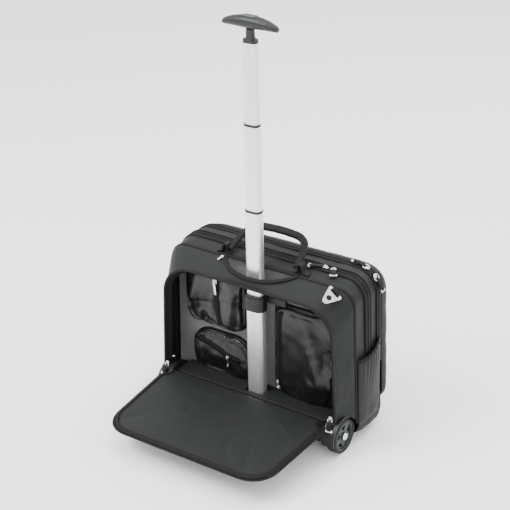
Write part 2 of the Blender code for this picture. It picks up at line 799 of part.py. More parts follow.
def strap_ring():
    """Triangular ring for a shoulder strap, on a webbing loop at the right of the front section."""
    frame = ring_frame()
    outer = arc((0.0125, 0.0025), 0.004, -30, 90, 4) + arc((-0.0125, 0.0025), 0.004, 90, 210, 4)
    outer += arc((0.0, -0.0225), 0.0072, 200, 340, 6)
    slot = [(x, y + 0.0013) for x, y in reversed(rounded_rectangle(0.021, 0.0060, 0.0017, 2))]
    hole = list(reversed(arc((0.0, -0.0145), 0.0056, 0, 342, 19)))
    lift = Matrix.Translation((0, 0, 0.0048))
    prism("strap_ring", [outer, slot, hole], 0.0030, frame @ lift, bright_metal())
    band = [(0.0150, 0.0003), (0.0150, 0.0016), (0.0096, 0.0018), (0.0090, 0.0026), (0.0090, 0.0076)]
    band += [(0.0080, 0.0086), (0.0026, 0.0086), (0.0015, 0.0076), (0.0015, 0.0010), (0.0022, 0.0003)]
    inside = [(0.0030, 0.0024), (0.0030, 0.0072), (0.0076, 0.0072), (0.0076, 0.0024)]
    sideways = Matrix(((0, 0, 1, 0), (1, 0, 0, 0), (0, 1, 0, 0), (0, 0, 0, 1)))
    prism("strap_ring_loop", [band, inside], 0.019, frame @ sideways, piping())


def ring_frame():
    """Place on the rounded upper corner where the strap ring lies: X across, Y up the slope, Z outwards."""
    outwards = Vector((0.60, -0.34, 0.72)).normalized()
    across = Vector((0.62, 0.0, -0.52)).normalized()
    up = outwards.cross(across).normalized()
    across = up.cross(outwards).normalized()
    turn = Matrix((across, up, outwards)).transposed().to_4x4()
    return Matrix.Translation(place(0.1836, 0.0287, 0.3368)) @ turn


# ---------------------------------------------------------------- zip sliders


def slider(name, position, direction, outwards, pull):
    """A zip slider with its hanging pull, lying along a zip. Direction is where the pull hangs."""
    outwards = Vector(outwards).normalized()
    down = Vector(direction) - outwards * Vector(direction).dot(outwards)
    down.normalize()
    across = down.cross(outwards).normalized()
    turn = Matrix((across, down, outwards)).transposed().to_4x4()
    matrix = Matrix.Translation(place(*position)) @ turn
    levels = [(0.0, 0.0038, 0.0045), (0.0016, 0.0038, 0.0045), (0.0026, 0.0028, 0.0036)]
    loops = []
    for height, half_x, half_y in levels:
        loop = [(half_x, -half_y), (half_x, half_y), (-half_x, half_y), (-half_x, -half_y)]
        loops.append([matrix @ Vector((x, y, height)) for x, y in loop])
    body = add(name, mesh_of(name, loft_mesh(name, loops, (True, True))), bright_metal())
    tab_outline = [
        (0.0012, -0.0030),
        (0.0012, 0.0060),
        (0.0030, 0.0100),
        (0.0030, pull),
        (0.0015, pull + 0.0025),
    ]
    tab_outline += [(-x, y) for x, y in reversed(tab_outline)]
    loops = [[matrix @ Vector((x, y, height)) for x, y in tab_outline] for height in (0.0020, 0.0034)]
    tab = mesh_of(name + "_tab", loft_mesh(name + "_tab", loops, (True, True)))
    cut(body, cutter(name + "_tab", tab), "UNION")
    return body


def corner_place(depth, angle, half_top, top, corner):
    """A point on the rounded right shoulder of a section, and the way out from it."""
    turn = math.radians(angle)
    out = Vector((math.cos(turn), 0.0, math.sin(turn)))
    point = Vector((half_top - corner, depth, top - corner)) + out * (corner + 0.0006)
    return point, out


def sliders():
    """Each zip's sliders, parked where they stay while the case is open at the front."""
    slider("slot_zip_slider", (-0.0890, 0.0440, SEAM_HEIGHT + 0.0006), (-0.1, -1, -0.45), (0, -0.3, 1), 0.012)
    slider("main_zip_slider_left", (0.126, 0.092, 0.3478), (-1, -0.25, 0), (0, -0.15, 1), 0.026)
    slider("main_zip_slider_right", (0.142, 0.092, 0.3478), (0.6, -1, 0), (0, -0.15, 1), 0.020)
    for name, angle, way in (("rear_zip_slider_left", 66, -1), ("rear_zip_slider_right", 42, 1)):
        point, out = corner_place(0.142, angle, *MAIN_SECTIONS[3][2:3], *MAIN_SECTIONS[3][4:])
        slider(name, point, Vector((out.z, 0.0, -out.x)) * way, out, 0.024)
    face = LINING_Y - GAP - 0.0006
    slider("upper_pocket_slider", (-0.102, face - 0.022, 0.280), (0, 0, -1), (0, -1, 0), 0.026)
    slider("lower_pocket_slider", (-0.076, face - 0.020, 0.114), (0, 0, -1), (0, -1, 0), 0.020)
    slider("right_pocket_slider", (0.050, face - 0.022, 0.084), (0, 0, 1), (0, -1, 0), 0.016)


# ---------------------------------------------------------------- flap


def open_flap_matrix():
    """From the flap's own frame, upright and closed, to its place on the floor."""
    hinge = place(0, HINGE_Y, HINGE_HEIGHT)
    return Matrix.Translation(hinge) @ Matrix.Rotation(math.radians(90) + FLAP_SLOPE, 4, "X")


def flap():
    """Padded front flap, closed it fills the opening. Its own Z runs up from the hinge."""
    half = FLAP_HALF_WIDTH
    top = FLAP_LENGTH
    foot = HOUSING_INNER_X - 0.002
    right = [(foot, 0.0015), (foot, 0.0200), (half, 0.0290)]
    right += arc((half - FLAP_TAPER - FLAP_CORNER, top - FLAP_CORNER), FLAP_CORNER, 0, 90, 8)
    outline = right + [(-x, z) for x, z in reversed(right)]
    stand = Matrix.Rotation(math.radians(90), 4, "X")
    matrix = open_flap_matrix() @ stand
    panel = prism("front_flap", [outline], FLAP_THICKNESS, matrix, fabric())
    bevel(panel, 0.003, 2, 50)
    for side, across in (("left", RIVET_LEFT_X), ("right", RIVET_RIGHT_X)):
        name = "flap_rivet_" + side
        inner_face = FLAP_THICKNESS / 2
        start = open_flap_matrix() @ Vector((across, inner_face + GAP, RIVET_REACH))
        end = open_flap_matrix() @ Vector((across, inner_face + 0.0022, RIVET_REACH))
        add(name, cylinder_mesh(name, 0.0045, start, end, 20, 0.0035), plastic())


def build():
    clear_scene()
    collection("rolling_laptop_case")
    collection("cutters")
    bag_shells()
    trims()
    base_tray()
    front_sill()
    inner_panels()
    pockets()
    for side in (1, -1):
        wheel_housing(side)
        wheel(side)
        rear_foot(side)
        side_pocket(side)
    trolley()
    grip()
    carry_handle()
    strap_ring()
    sliders()
    flap()


build()
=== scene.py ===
"""Looks of the rolling laptop case: sewn fabric, padded flap, nylon pockets, zips, trolley tubes and wheels.

Everything is in metres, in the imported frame: X across the case, Y from the flap to the back, Z up.
Depths are counted from the plane of the front opening, towards the back.
"""

import json
import math
import random

import bmesh
import bpy
import numpy as np
from mathutils import Matrix, Vector, noise
from mathutils.bvhtree import BVHTree

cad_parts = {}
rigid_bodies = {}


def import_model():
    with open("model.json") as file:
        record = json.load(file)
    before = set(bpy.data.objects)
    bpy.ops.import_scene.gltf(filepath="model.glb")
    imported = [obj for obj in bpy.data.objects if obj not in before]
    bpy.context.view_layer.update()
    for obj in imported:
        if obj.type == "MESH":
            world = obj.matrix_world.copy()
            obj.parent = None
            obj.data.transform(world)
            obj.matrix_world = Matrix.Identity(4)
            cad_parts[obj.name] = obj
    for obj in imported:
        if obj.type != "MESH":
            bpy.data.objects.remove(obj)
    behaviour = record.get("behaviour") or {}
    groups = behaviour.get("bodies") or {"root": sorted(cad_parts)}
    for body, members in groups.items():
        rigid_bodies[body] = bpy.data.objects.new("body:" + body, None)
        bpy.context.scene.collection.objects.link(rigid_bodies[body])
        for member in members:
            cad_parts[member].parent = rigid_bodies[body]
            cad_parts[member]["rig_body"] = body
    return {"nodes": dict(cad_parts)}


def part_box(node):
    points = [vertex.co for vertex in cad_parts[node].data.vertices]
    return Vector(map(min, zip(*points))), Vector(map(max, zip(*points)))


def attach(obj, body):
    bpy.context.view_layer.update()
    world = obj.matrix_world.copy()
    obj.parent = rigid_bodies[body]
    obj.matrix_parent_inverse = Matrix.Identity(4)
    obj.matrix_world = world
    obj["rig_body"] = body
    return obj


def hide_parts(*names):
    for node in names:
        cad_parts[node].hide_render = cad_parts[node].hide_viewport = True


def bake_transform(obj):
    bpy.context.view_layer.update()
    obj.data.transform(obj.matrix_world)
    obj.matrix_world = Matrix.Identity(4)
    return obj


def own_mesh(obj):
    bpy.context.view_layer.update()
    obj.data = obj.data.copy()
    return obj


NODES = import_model()["nodes"]
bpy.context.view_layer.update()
TAU = math.tau

OPEN_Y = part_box("front_section")[0][1]


def at(x, depth, z):
    """A point counted from the plane of the front opening."""
    return Vector((x, OPEN_Y + depth, z))


def placed(name, data):
    """A new object in the scene."""
    made = bpy.data.objects.new(name, data)
    bpy.context.scene.collection.objects.link(made)
    return made


# ---------------------------------------------------------------- camera

AZIMUTH, ELEVATION, ROLL = 35.0, 26.0, -1.2
LENS = 98.8
CAMERA_DISTANCE = 2.8218
CAMERA_TARGET = at(-0.0448, 0.100, 0.3316)


def add_camera():
    azimuth, elevation, roll = (math.radians(v) for v in (AZIMUTH, ELEVATION, ROLL))
    right = Vector((math.cos(azimuth), math.sin(azimuth), 0))
    level = Vector((-math.sin(azimuth), math.cos(azimuth), 0))
    forward = level * math.cos(elevation) - Vector((0, 0, math.sin(elevation)))
    up = right.cross(forward)
    turned_right = right * math.cos(roll) + up * math.sin(roll)
    turned_up = up * math.cos(roll) - right * math.sin(roll)
    data = bpy.data.cameras.new("camera")
    data.lens = LENS
    data.sensor_width = 36
    data.clip_end = 60
    camera = placed("camera", data)
    turn = Matrix((turned_right, turned_up, -forward)).transposed().to_4x4()
    camera.matrix_world = Matrix.Translation(CAMERA_TARGET - forward * CAMERA_DISTANCE) @ turn
    bpy.context.scene.camera = camera


add_camera()


# ---------------------------------------------------------------- materials


class Shade:
    """Short way to build a node material."""

    def __init__(self, name, colour, roughness, metallic=0.0):
        self.material = bpy.data.materials.new(name)
        self.material.use_nodes = True
        self.tree = self.material.node_tree
        self.shader = self.tree.nodes["Principled BSDF"]
        self.set("Base Color", (*colour, 1.0))
        self.set("Roughness", roughness)
        self.set("Metallic", metallic)
        coordinates = self.tree.nodes.new("ShaderNodeTexCoord")
        self.place = coordinates.outputs["Object"]
        self.bump_input = None

    def set(self, socket, value):
        self.shader.inputs[socket].default_value = value

    def node(self, kind, **settings):
        made = self.tree.nodes.new(kind)
        for key, value in settings.items():
            setattr(made, key, value)
        return made

    def link(self, source, target):
        self.tree.links.new(source, target)

    def noise(self, scale, detail=3.0, stretch=(1, 1, 1), roughness=0.5):
        mapping = self.node("ShaderNodeMapping")
        mapping.inputs["Scale"].default_value = stretch
        self.link(self.place, mapping.inputs["Vector"])
        texture = self.node("ShaderNodeTexNoise")
        texture.inputs["Scale"].default_value = scale
        texture.inputs["Detail"].default_value = detail
        texture.inputs["Roughness"].default_value = roughness
        self.link(mapping.outputs[0], texture.inputs["Vector"])
        return texture.outputs["Fac"]

    def wave(self, scale, turn=(0, 0, 0), direction="X", distortion=0.0):
        mapping = self.node("ShaderNodeMapping")
        mapping.inputs["Rotation"].default_value = turn
        self.link(self.place, mapping.inputs["Vector"])
        texture = self.node("ShaderNodeTexWave", bands_direction=direction)
        texture.inputs["Scale"].default_value = scale
        texture.inputs["Distortion"].default_value = distortion
        self.link(mapping.outputs[0], texture.inputs["Vector"])
        return texture.outputs["Fac"]

    def math(self, operation, one, other):
        made = self.node("ShaderNodeMath", operation=operation)
        for socket, value in zip(made.inputs, (one, other)):
            if isinstance(value, (int, float)):
                socket.default_value = value
            else:
                self.link(value, socket)
        return made.outputs[0]

    def bump(self, height, distance, strength=1.0):
        """Adds a layer of relief on top of the earlier ones."""
        made = self.node("ShaderNodeBump")
        made.inputs["Strength"].default_value = strength
        made.inputs["Distance"].default_value = distance
        self.link(height, made.inputs["Height"])
        if self.bump_input is not None:
            self.link(self.bump_input, made.inputs["Normal"])
        self.bump_input = made.outputs["Normal"]
        self.link(self.bump_input, self.shader.inputs["Normal"])

    def colours(self, factor, stops):
        ramp = self.node("ShaderNodeValToRGB")
        while len(ramp.color_ramp.elements) < len(stops):
            ramp.color_ramp.elements.new(0.5)
        for element, (position, colour) in zip(ramp.color_ramp.elements, stops):
            element.position = position
            element.color = (*colour, 1.0)
        self.link(factor, ramp.inputs["Fac"])
        self.link(ramp.outputs["Color"], self.shader.inputs["Base Color"])

    def roughness_between(self, factor, low, high):
        made = self.node("ShaderNodeMapRange")
        made.inputs["To Min"].default_value = low
        made.inputs["To Max"].default_value = high
        self.link(factor, made.inputs["Value"])
        self.link(made.outputs["Result"], self.shader.inputs["Roughness"])


def woven(name, dark, light, roughness, thread, relief, sheen=0.0, slub=0.35):
    """Cloth: crossed threads of a given pitch, with slubs and a slow change of tone."""
    shade = Shade(name, light, sum(roughness) / 2)
    pitch = 1.0 / thread / TAU * 3.0
    warp = shade.wave(pitch, (0.3, 0.2, 0.785), "DIAGONAL")
    weft = shade.wave(pitch, (-0.3, 0.4, -0.785), "DIAGONAL")
    threads = shade.math("MULTIPLY", warp, weft)
    slow = shade.noise(9.0, 4.0)
    fine = shade.noise(420.0, 2.0)
    tone = shade.math("ADD", shade.math("MULTIPLY", slow, 1.0 - slub), shade.math("MULTIPLY", fine, slub))
    shade.colours(tone, [(0.32, dark), (0.68, light)])
    shade.roughness_between(slow, *roughness)
    shade.bump(threads, relief, 0.6)
    shade.bump(shade.noise(55.0, 3.0), relief * 1.5, 0.35)
    shade.set("Specular IOR Level", 0.16)
    if sheen:
        shade.set("Sheen Weight", sheen)
        shade.set("Sheen Roughness", 0.45)
    return shade


SHELL = woven(
    "charcoal_polyester", (
        0.0068, 0.0075, 0.0078
    ), (0.0108, 0.0118, 0.0122), (0.50, 0.64), 0.0007, 0.00012, 0.03
).material
LINING = woven(
    "grey_lining_cloth", (0.105, 0.105, 0.106), (0.135, 0.135, 0.136), (0.70, 0.85), 0.0006, 0.00010, 0.05
).material
INNER = woven(
    "black_inner_cloth", (0.0025, 0.0026, 0.0028), (0.0045, 0.0046, 0.0049), (0.75, 0.9), 0.0006, 0.00008
).material
WEBBING = woven(
    "black_webbing", (0.0030, 0.0031, 0.0034), (0.0065, 0.0067, 0.0070), (0.52, 0.70), 0.0012, 0.00025, 0.02
).material
TAPE = woven(
    "zip_tape", (0.0022, 0.0022, 0.0025), (0.0048, 0.0048, 0.0052), (0.58, 0.74), 0.0009, 0.00018
).material


def make_nylon():
    """Thin, slightly shiny cloth with slack unevenness."""
    dark, light = (0.0030, 0.0033, 0.0036), (0.0060, 0.0066, 0.0070)
    shade = woven("black_nylon", dark, light, (0.26, 0.38), 0.0005, 0.00006)
    shade.bump(shade.noise(16.0, 3.0, (1, 1, 0.6)), 0.0014, 0.35)
    shade.set("Specular IOR Level", 0.42)
    return shade.material


def make_coil():
    shade = Shade("zip_coil", (0.010, 0.010, 0.011), 0.35)
    shade.colours(shade.noise(300.0), [(0.3, (0.0035, 0.0035, 0.0040)), (0.7, (0.0085, 0.0085, 0.0090))])
    shade.roughness_between(shade.noise(80.0), 0.28, 0.45)
    shade.set("Specular IOR Level", 0.25)
    return shade.material


def make_thread():
    shade = Shade("sewing_thread", (0.020, 0.020, 0.021), 0.6)
    shade.colours(shade.noise(700.0), [(0.3, (0.006, 0.006, 0.0065)), (0.7, (0.016, 0.0165, 0.017))])
    shade.bump(shade.wave(900.0, (0.5, 0.3, 0.6)), 0.0001, 0.5)
    shade.set("Specular IOR Level", 0.15)
    return shade.material


def moulded(name, dark, light, roughness, grain, relief):
    """Moulded plastic with a fine pebble grain and rubbed, slightly paler patches."""
    shade = Shade(name, light, sum(roughness) / 2)
    slow = shade.noise(14.0, 5.0)
    shade.colours(slow, [(0.35, dark), (0.7, light)])
    shade.roughness_between(shade.noise(60.0, 4.0), *roughness)
    shade.bump(shade.noise(grain, 2.0), relief, 0.5)
    shade.set("Specular IOR Level", 0.3)
    return shade.material


PLASTIC = moulded(
    "black_moulding", (0.0050, 0.0054, 0.0056), (0.0095, 0.0100, 0.0102), (0.36, 0.52), 900.0, 0.00012
)
GRIP = moulded(
    "grip_moulding", (0.0080, 0.0088, 0.0092), (0.0140, 0.0150, 0.0156), (0.34, 0.48), 1100.0, 0.00010
)
WHEEL = moulded(
    "wheel_moulding", (0.0110, 0.0160, 0.0150), (0.0180, 0.0250, 0.0235), (0.30, 0.45), 800.0, 0.00010
)
RUBBER = moulded(
    "tyre_rubber_compound", (0.0035, 0.0038, 0.0038), (0.0080, 0.0085, 0.0085), (0.52, 0.72), 500.0, 0.00022
)


def make_tube():
    shade = Shade("satin_tube", (0.78, 0.78, 0.77), 0.34, 0.85)
    lines = shade.noise(900.0, 4.0, (1, 1, 0.012), 0.65)
    shade.colours(
        shade.noise(6.0, 4.0, (1, 1, 0.4)), [(0.3, (0.72, 0.72, 0.715)), (0.7, (0.84, 0.84, 0.835))]
    )
    shade.roughness_between(lines, 0.26, 0.44)
    shade.bump(lines, 0.00004, 0.35)
    shade.set("Anisotropic", 0.35)
    return shade.material


def make_bright():
    shade = Shade("plated_metal", (0.74, 0.74, 0.73), 0.2, 1.0)
    shade.colours(shade.noise(90.0, 4.0), [(0.3, (0.62, 0.62, 0.61)), (0.7, (0.80, 0.80, 0.79))])
    shade.roughness_between(shade.noise(240.0, 4.0), 0.12, 0.34)
    shade.bump(shade.noise(600.0, 3.0), 0.00006, 0.25)
    return shade.material


def make_floor():
    shade = Shade("pale_floor", (0.90, 0.90, 0.90), 0.7)
    shade.roughness_between(shade.noise(3.0), 0.65, 0.8)
    return shade.material


NYLON = make_nylon()
COIL = make_coil()
THREAD = make_thread()
TUBE = make_tube()
BRIGHT = make_bright()


# ---------------------------------------------------------------- mesh helpers


def new_piece(name, data, material, body, nodes=()):
    """A visible piece that rides on a body and stands for CAD nodes."""
    piece = placed(name, data)
    data.materials.append(material)
    if body is not None:
        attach(piece, body)
    if nodes:
        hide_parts(*nodes)
    return piece


def mesh_from(name, work, smooth=40):
    bmesh.ops.recalc_face_normals(work, faces=work.faces)
    data = bpy.data.meshes.new(name)
    work.to_mesh(data)
    work.free()
    data.shade_smooth()
    data.set_sharp_from_angle(angle=math.radians(smooth))
    return data


def join_rows(work, rows, closed=True):
    """Faces between rows of equally many vertices."""
    for one, other in zip(rows, rows[1:]):
        for index in range(len(one) if closed else len(one) - 1):
            following = (index + 1) % len(one)
            work.faces.new((one[index], one[following], other[following], other[index]))


def skin_rings(work, rings, closed=True):
    """Faces between rings of equally many points; returns the rings' vertices."""
    rows = [[work.verts.new(point) for point in ring] for ring in rings]
    join_rows(work, rows, closed)
    return rows


def solid_rings(work, rings):
    """A closed body over rings of points."""
    rows = skin_rings(work, rings)
    work.faces.new(rows[0])
    work.faces.new(list(reversed(rows[-1])))


def arc(centre, radius, first, last, steps):
    points = []
    for step in range(steps + 1):
        angle = math.radians(first + (last - first) * step / steps)
        points.append((centre[0] + radius * math.cos(angle), centre[1] + radius * math.sin(angle)))
    return points


def rounded_rectangle(width, depth, radius, steps=4):
    across, along = width / 2 - radius, depth / 2 - radius
    outline = []
    for quarter, (x, y) in enumerate(
        [(across, along), (-across, along), (-across, -along), (across, -along)]
    ):
        outline += arc((x, y), radius, 90 * quarter, 90 * quarter + 90, steps)
    return outline


def smooth_step(value, low, high):
    share = min(1.0, max(0.0, (value - low) / (high - low)))
    return share * share * (3 - 2 * share)


def bump_at(value, centre, width):
    return math.exp(-(((value - centre) / width) ** 2))


def ripple(x, y, z):
    """Smooth noise at a place."""
    return noise.noise(Vector((x, y, z)))


def spline(points, per_span=8, closed=False):
    """Smooth curve through points, by Catmull and Rom."""
    points = [Vector(p) for p in points]
    count = len(points)
    line = []
    spans = count if closed else count - 1
    for span in range(spans):
        if closed:
            p0, p1, p2, p3 = (points[(span + k) % count] for k in (-1, 0, 1, 2))
        else:
            p1, p2 = points[span], points[span + 1]
            p0 = points[span - 1] if span else p1 * 2 - p2
            p3 = points[span + 2] if span + 2 < count else p2 * 2 - p1
        for step in range(per_span):
            t = step / per_span
            line.append(
                0.5
                * (
                    (2 * p1)
                    + (p2 - p0) * t
                    + (2 * p0 - 5 * p1 + 4 * p2 - p3) * t * t
                    + (3 * p1 - p0 - 3 * p2 + p3) * t**3
                )
            )
    if not closed:
        line.append(points[-1])
    return line


def spaced(line, pitch, closed=False):
    """Points along a line at an even pitch."""
    points = [Vector(p) for p in line] + ([Vector(line[0])] if closed else [])
    lengths = [(b - a).length for a, b in zip(points, points[1:])]
    total = sum(lengths)
    count = max(2, round(total / pitch))
    result, index, passed = [], 0, 0.0
    for step in range(count + (0 if closed else 1)):
        goal = total * step / count
        while index < len(lengths) - 1 and passed + lengths[index] < goal:
            passed += lengths[index]
            index += 1
        share = (goal - passed) / max(lengths[index], 1e-9)
        result.append(points[index].lerp(points[index + 1], min(1.0, share)))
    return result


def facing(outwards, index, point):
    """The outward direction at a line's point, given as one vector or as a function."""
    return outwards(index, point) if callable(outwards) else Vector(outwards)


def square_to(along, out):
    return (out - along * out.dot(along)).normalized()


def along_line(line, index, closed=False):
    """A line's direction at one of its points."""
    last = len(line) - 1
    if closed:
        return (line[(index + 1) % len(line)] - line[index - 1]).normalized()
    return (line[min(index + 1, last)] - line[max(index - 1, 0)]).normalized()


def sweep(work, line, outwards, profile, closed=False):
    """A strip of a given section along a line. The section is (sideways, outwards) pairs."""
    rings = []
    for index, point in enumerate(line):
        along = along_line(line, index, closed)
        out = square_to(along, facing(outwards, index, point))
        side = along.cross(out).normalized()
        rings.append([point + side * s + out * o for s, o in profile])
    if closed:
        rows = [[work.verts.new(p) for p in ring] for ring in rings]
        join_rows(work, rows + rows[:1])
    else:
        solid_rings(work, rings)


def round_profile(radius, steps=8, flat=1.0):
    """Points round a circle, or round an oval if flat is not 1."""
    turns = [TAU * k / steps for k in range(steps)]
    return [(radius * math.cos(turn), radius * flat * math.sin(turn)) for turn in turns]


# ---------------------------------------------------------------- shape of the bag

# Each station: depth, half width at the bottom and top, bottom height, top height, shoulder radius
FRONT_STATIONS = [
    (0.000, 0.2085, 0.1985, 0.016, 0.3130, 0.066),
    (0.016, 0.2140, 0.2045, 0.016, 0.3240, 0.058),
    (0.033, 0.2200, 0.2115, 0.016, 0.3335, 0.046),
    (0.045, 0.2250, 0.2175, 0.016, 0.3390, 0.036),
    (0.0508, 0.2250, 0.2175, 0.016, 0.3390, 0.036),
]
MAIN_STATIONS = [
    (0.0532, 0.2250, 0.2175, 0.016, 0.3390, 0.036),
    (0.080, 0.2275, 0.2195, 0.010, 0.3455, 0.040),
    (0.112, 0.2275, 0.2200, 0.008, 0.3500, 0.044),
    (0.142, 0.2260, 0.2190, 0.008, 0.3490, 0.046),
    (0.1548, 0.2210, 0.2150, 0.016, 0.3455, 0.048),
]
REAR_STATIONS = [
    (0.1563, 0.2215, 0.2160, 0.050, 0.3460, 0.048),
    (0.169, 0.2240, 0.2180, 0.048, 0.3435, 0.046),
    (0.184, 0.2190, 0.2130, 0.054, 0.3365, 0.048),
    (0.191, 0.2040, 0.1980, 0.070, 0.3215, 0.052),
]
FOOT_RADIUS = 0.024
BACK_PADDING = 0.0006
SHELL_CLOTH, THIN_CLOTH = 0.0022, 0.0012
FRONT_DEPTH, SEAM_DEPTH = 0.0508, 0.0520
TO_FRONT, TO_BACK, UP = Vector((0, -1, 0)), Vector((0, 1, 0)), Vector((0, 0, 1))
SLOT_MIDDLE, SLOT_HALF, SLOT_GAPE = 0.003, 0.086, 0.042
WHEEL_DEPTH, WHEEL_HEIGHT = 0.019, 0.036
WELL_RADIUS = 0.0435


def station(stations, depth):
    """The outline's numbers at a depth, eased between the stations."""
    table = np.array(stations)
    result = []
    for column in range(1, 6):
        samples = [np.interp(depth + shift, table[:, 0], table[:, column]) for shift in (-0.004, 0, 0.004)]
        result.append(float(np.mean(samples)))
    return result


def side_x(sec, z):
    half_bottom, half_top, bottom, top, corner = sec
    share = (z - bottom - FOOT_RADIUS) / (top - corner - bottom - FOOT_RADIUS)
    return half_bottom + (half_top - half_bottom) * share


def outline(sec, low=None, sides=34, shoulder=12, across=56, closed=False):
    """Points (x, z) from the right foot over the top to the left foot, and along the bottom if closed."""
    half_bottom, half_top, bottom, top, corner = sec
    start = bottom + FOOT_RADIUS if low is None else low
    right = []
    for step in range(sides):
        z = start + (top - corner - start) * step / sides
        right.append((side_x(sec, z), z))
    right += arc((half_top - corner, top - corner), corner, 0, 90, shoulder)
    reach = half_top - corner
    line = [(reach - 2 * reach * k / across, top) for k in range(1, across)]
    points = right + line + [(-x, z) for x, z in reversed(right)]
    if closed:
        foot = arc((-half_bottom + FOOT_RADIUS, bottom + FOOT_RADIUS), FOOT_RADIUS, 180, 270, 6)[1:]
        base = half_bottom - FOOT_RADIUS
        points += foot + [(-base + 2 * base * k / 40, bottom) for k in range(1, 40)]
        points += [(-x, z) for x, z in reversed(foot)]
    return points


def lip_depth(x):
    across = min(1.0, abs((x - SLOT_MIDDLE) / SLOT_HALF))
    return 0.0505 - SLOT_GAPE * (1 - across**2.4)


def well_top(depth):
    return WHEEL_HEIGHT + math.sqrt(max(0.0, WELL_RADIUS**2 - (depth - WHEEL_DEPTH) ** 2))


def front_point(x, depth, z, sec):
    """Moves a point of the front section's top to make the open trolley slot's sagging lip."""
    across = abs((x - SLOT_MIDDLE) / SLOT_HALF)
    if z > sec[3] - 0.02 and across < 1:
        squeeze = lip_depth(x) / 0.0505
        rim = FRONT_STATIONS[0][4]
        sag = 0.385 * (1 - across**2.4)
        z = rim + (z - rim) * (1 - sag * smooth_step(z, rim - 0.01, rim))
        depth = depth * squeeze
    return at(x, depth, z)


def soft(point, seed, size):
    """Slow unevenness of stretched cloth, with a few sharper creases."""
    place = Vector(point) + Vector((seed, seed * 1.7, 0))
    slow = noise.noise(place * 11.0) * 0.9 + noise.noise(place * 27.0 + Vector((3, 5, 7))) * 0.5
    skewed = Vector((place.x * 0.7 + place.z * 0.5, place.y * 1.3, place.z * 0.35 - place.x * 0.3))
    crease = 1.0 - abs(noise.noise(skewed * 24.0))
    return size * (slow * 0.7 + max(0.0, crease - 0.82) * 3.0 - 0.25)


def displace(work, amount):
    """Moves each vertex along its normal by amount(point)."""
    work.normal_update()
    moves = [(v, v.normal.copy() * amount(v.co)) for v in work.verts]
    for v, move in moves:
        v.co += move


def solid_skin(piece, thickness, inner, offset=-1.0):
    piece.data.materials.append(inner)
    thick = piece.modifiers.new("cloth", "SOLIDIFY")
    thick.thickness = thickness
    thick.offset = offset
    thick.material_offset = 1
    thick.material_offset_rim = 0
    thick.use_even_offset = False
    return piece


def front_skin():
    """Front section: one panel from wheel to wheel over the top, with the open trolley slot."""
    work = bmesh.new()
    rings = []
    shares = [0, 0.03, 0.08, 0.15, 0.23, 0.32, 0.41, 0.5, 0.59, 0.68, 0.77, 0.86, 0.94, 1]
    for share in shares:
        depth = FRONT_DEPTH * share
        sec = station(FRONT_STATIONS, depth)
        points = outline(sec, low=well_top(depth) - 0.001)
        rings.append([front_point(x, depth, z, sec) for x, z in points])
    skin_rings(work, rings, closed=False)

    def swell(point):
        depth = point.y - OPEN_Y
        inside = smooth_step(depth, 0.0, 0.012) * (1 - smooth_step(depth, 0.040, 0.050))
        fall = 0.0
        if abs(point.x) > 0.19:
            reach = math.hypot(depth - WHEEL_DEPTH, point.z - WHEEL_HEIGHT)
            fall = 0.0022 * bump_at(reach, 0.052, 0.005) + 0.0016 * bump_at(reach, 0.066, 0.006)
        return (soft(point, 1.3, 0.0021) + fall) * inside

    displace(work, swell)
    data = mesh_from("front_fabric", work, 60)
    piece = new_piece("front_fabric", data, SHELL, "case", ["front_section"])
    sample = piece.data.polygons[400]
    if sample.normal.dot(Vector((sample.center.x, 0, 0.1))) < 0:
        piece.data.flip_normals()
    solid_skin(piece, SHELL_CLOTH, INNER)


def well_shift(x, depth, z):
    """Main section's front edge steps back round the wheel."""
    if abs(x) < 0.186 or z > WHEEL_HEIGHT + WELL_RADIUS:
        return depth
    edge = WHEEL_DEPTH + math.sqrt(max(0.0, WELL_RADIUS**2 - (z - WHEEL_HEIGHT) ** 2))
    push = max(0.0, edge - 0.0532)
    return depth + push * (1 - smooth_step(depth, 0.0532, 0.080))


def capped_rings(rings, inset_steps, middle):
    """Adds shrinking rings that close the last one."""
    to_middle = [Vector((middle.x - p.x, 0, middle.z - p.z)) for p in rings[-1]]
    return rings + [[p + way * share for p, way in zip(rings[-1], to_middle)] for share in inset_steps]


def back_skin(name, stations, seed, node, size, shift=None):
    work = bmesh.new()
    rings = []
    first, last = stations[0][0], stations[-1][0]
    steps = 18 if last - first > 0.06 else 9
    for step in range(steps + 1):
        depth = first + (last - first) * step / steps
        sec = station(stations, depth)
        rings.append([at(x, shift(x, depth, z) if shift else depth, z) for x, z in outline(sec, closed=True)])
    middle = at(0, last, 0.19)
    rings = capped_rings(rings, [0.03, 0.1, 0.2, 0.32, 0.45, 0.6, 0.75, 0.9, 0.985], middle)
    rows = skin_rings(work, rings)
    work.faces.new(rows[-1])

    def swell(point):
        depth = point.y - OPEN_Y
        inside = smooth_step(depth, first, first + 0.010)
        on_back = depth > last - 0.0005
        if not on_back:
            inside *= 1 - 0.7 * smooth_step(depth, last - 0.008, last)
        swollen = (soft(point, seed, size) + 0.001 * bump_at(abs(point.x), 0.23, 0.02)) * inside
        return swollen + BACK_PADDING if on_back else swollen

    displace(work, swell)
    piece = new_piece(name, mesh_from(name, work, 55), SHELL, "case", [node])
    solid_skin(piece, SHELL_CLOTH, INNER)


front_skin()
back_skin("main_fabric", MAIN_STATIONS, 4.1, "main_compartment", 0.0020, well_shift)
back_skin("rear_fabric", REAR_STATIONS, 7.7, "rear_compartment", 0.0020)


# ---------------------------------------------------------------- piping, zips and stitches


def outline_path(stations, depth, low, pitch, rise):
    """A line over the bag at one depth, lifted from the cloth, from right to left."""
    sec = station(stations, depth)
    for number in (0, 1, 3, 4):
        sec[number] += rise
    points = [at(x, depth, z) for x, z in outline(sec, low=low, sides=40, shoulder=16)]
    return spaced(points, pitch)


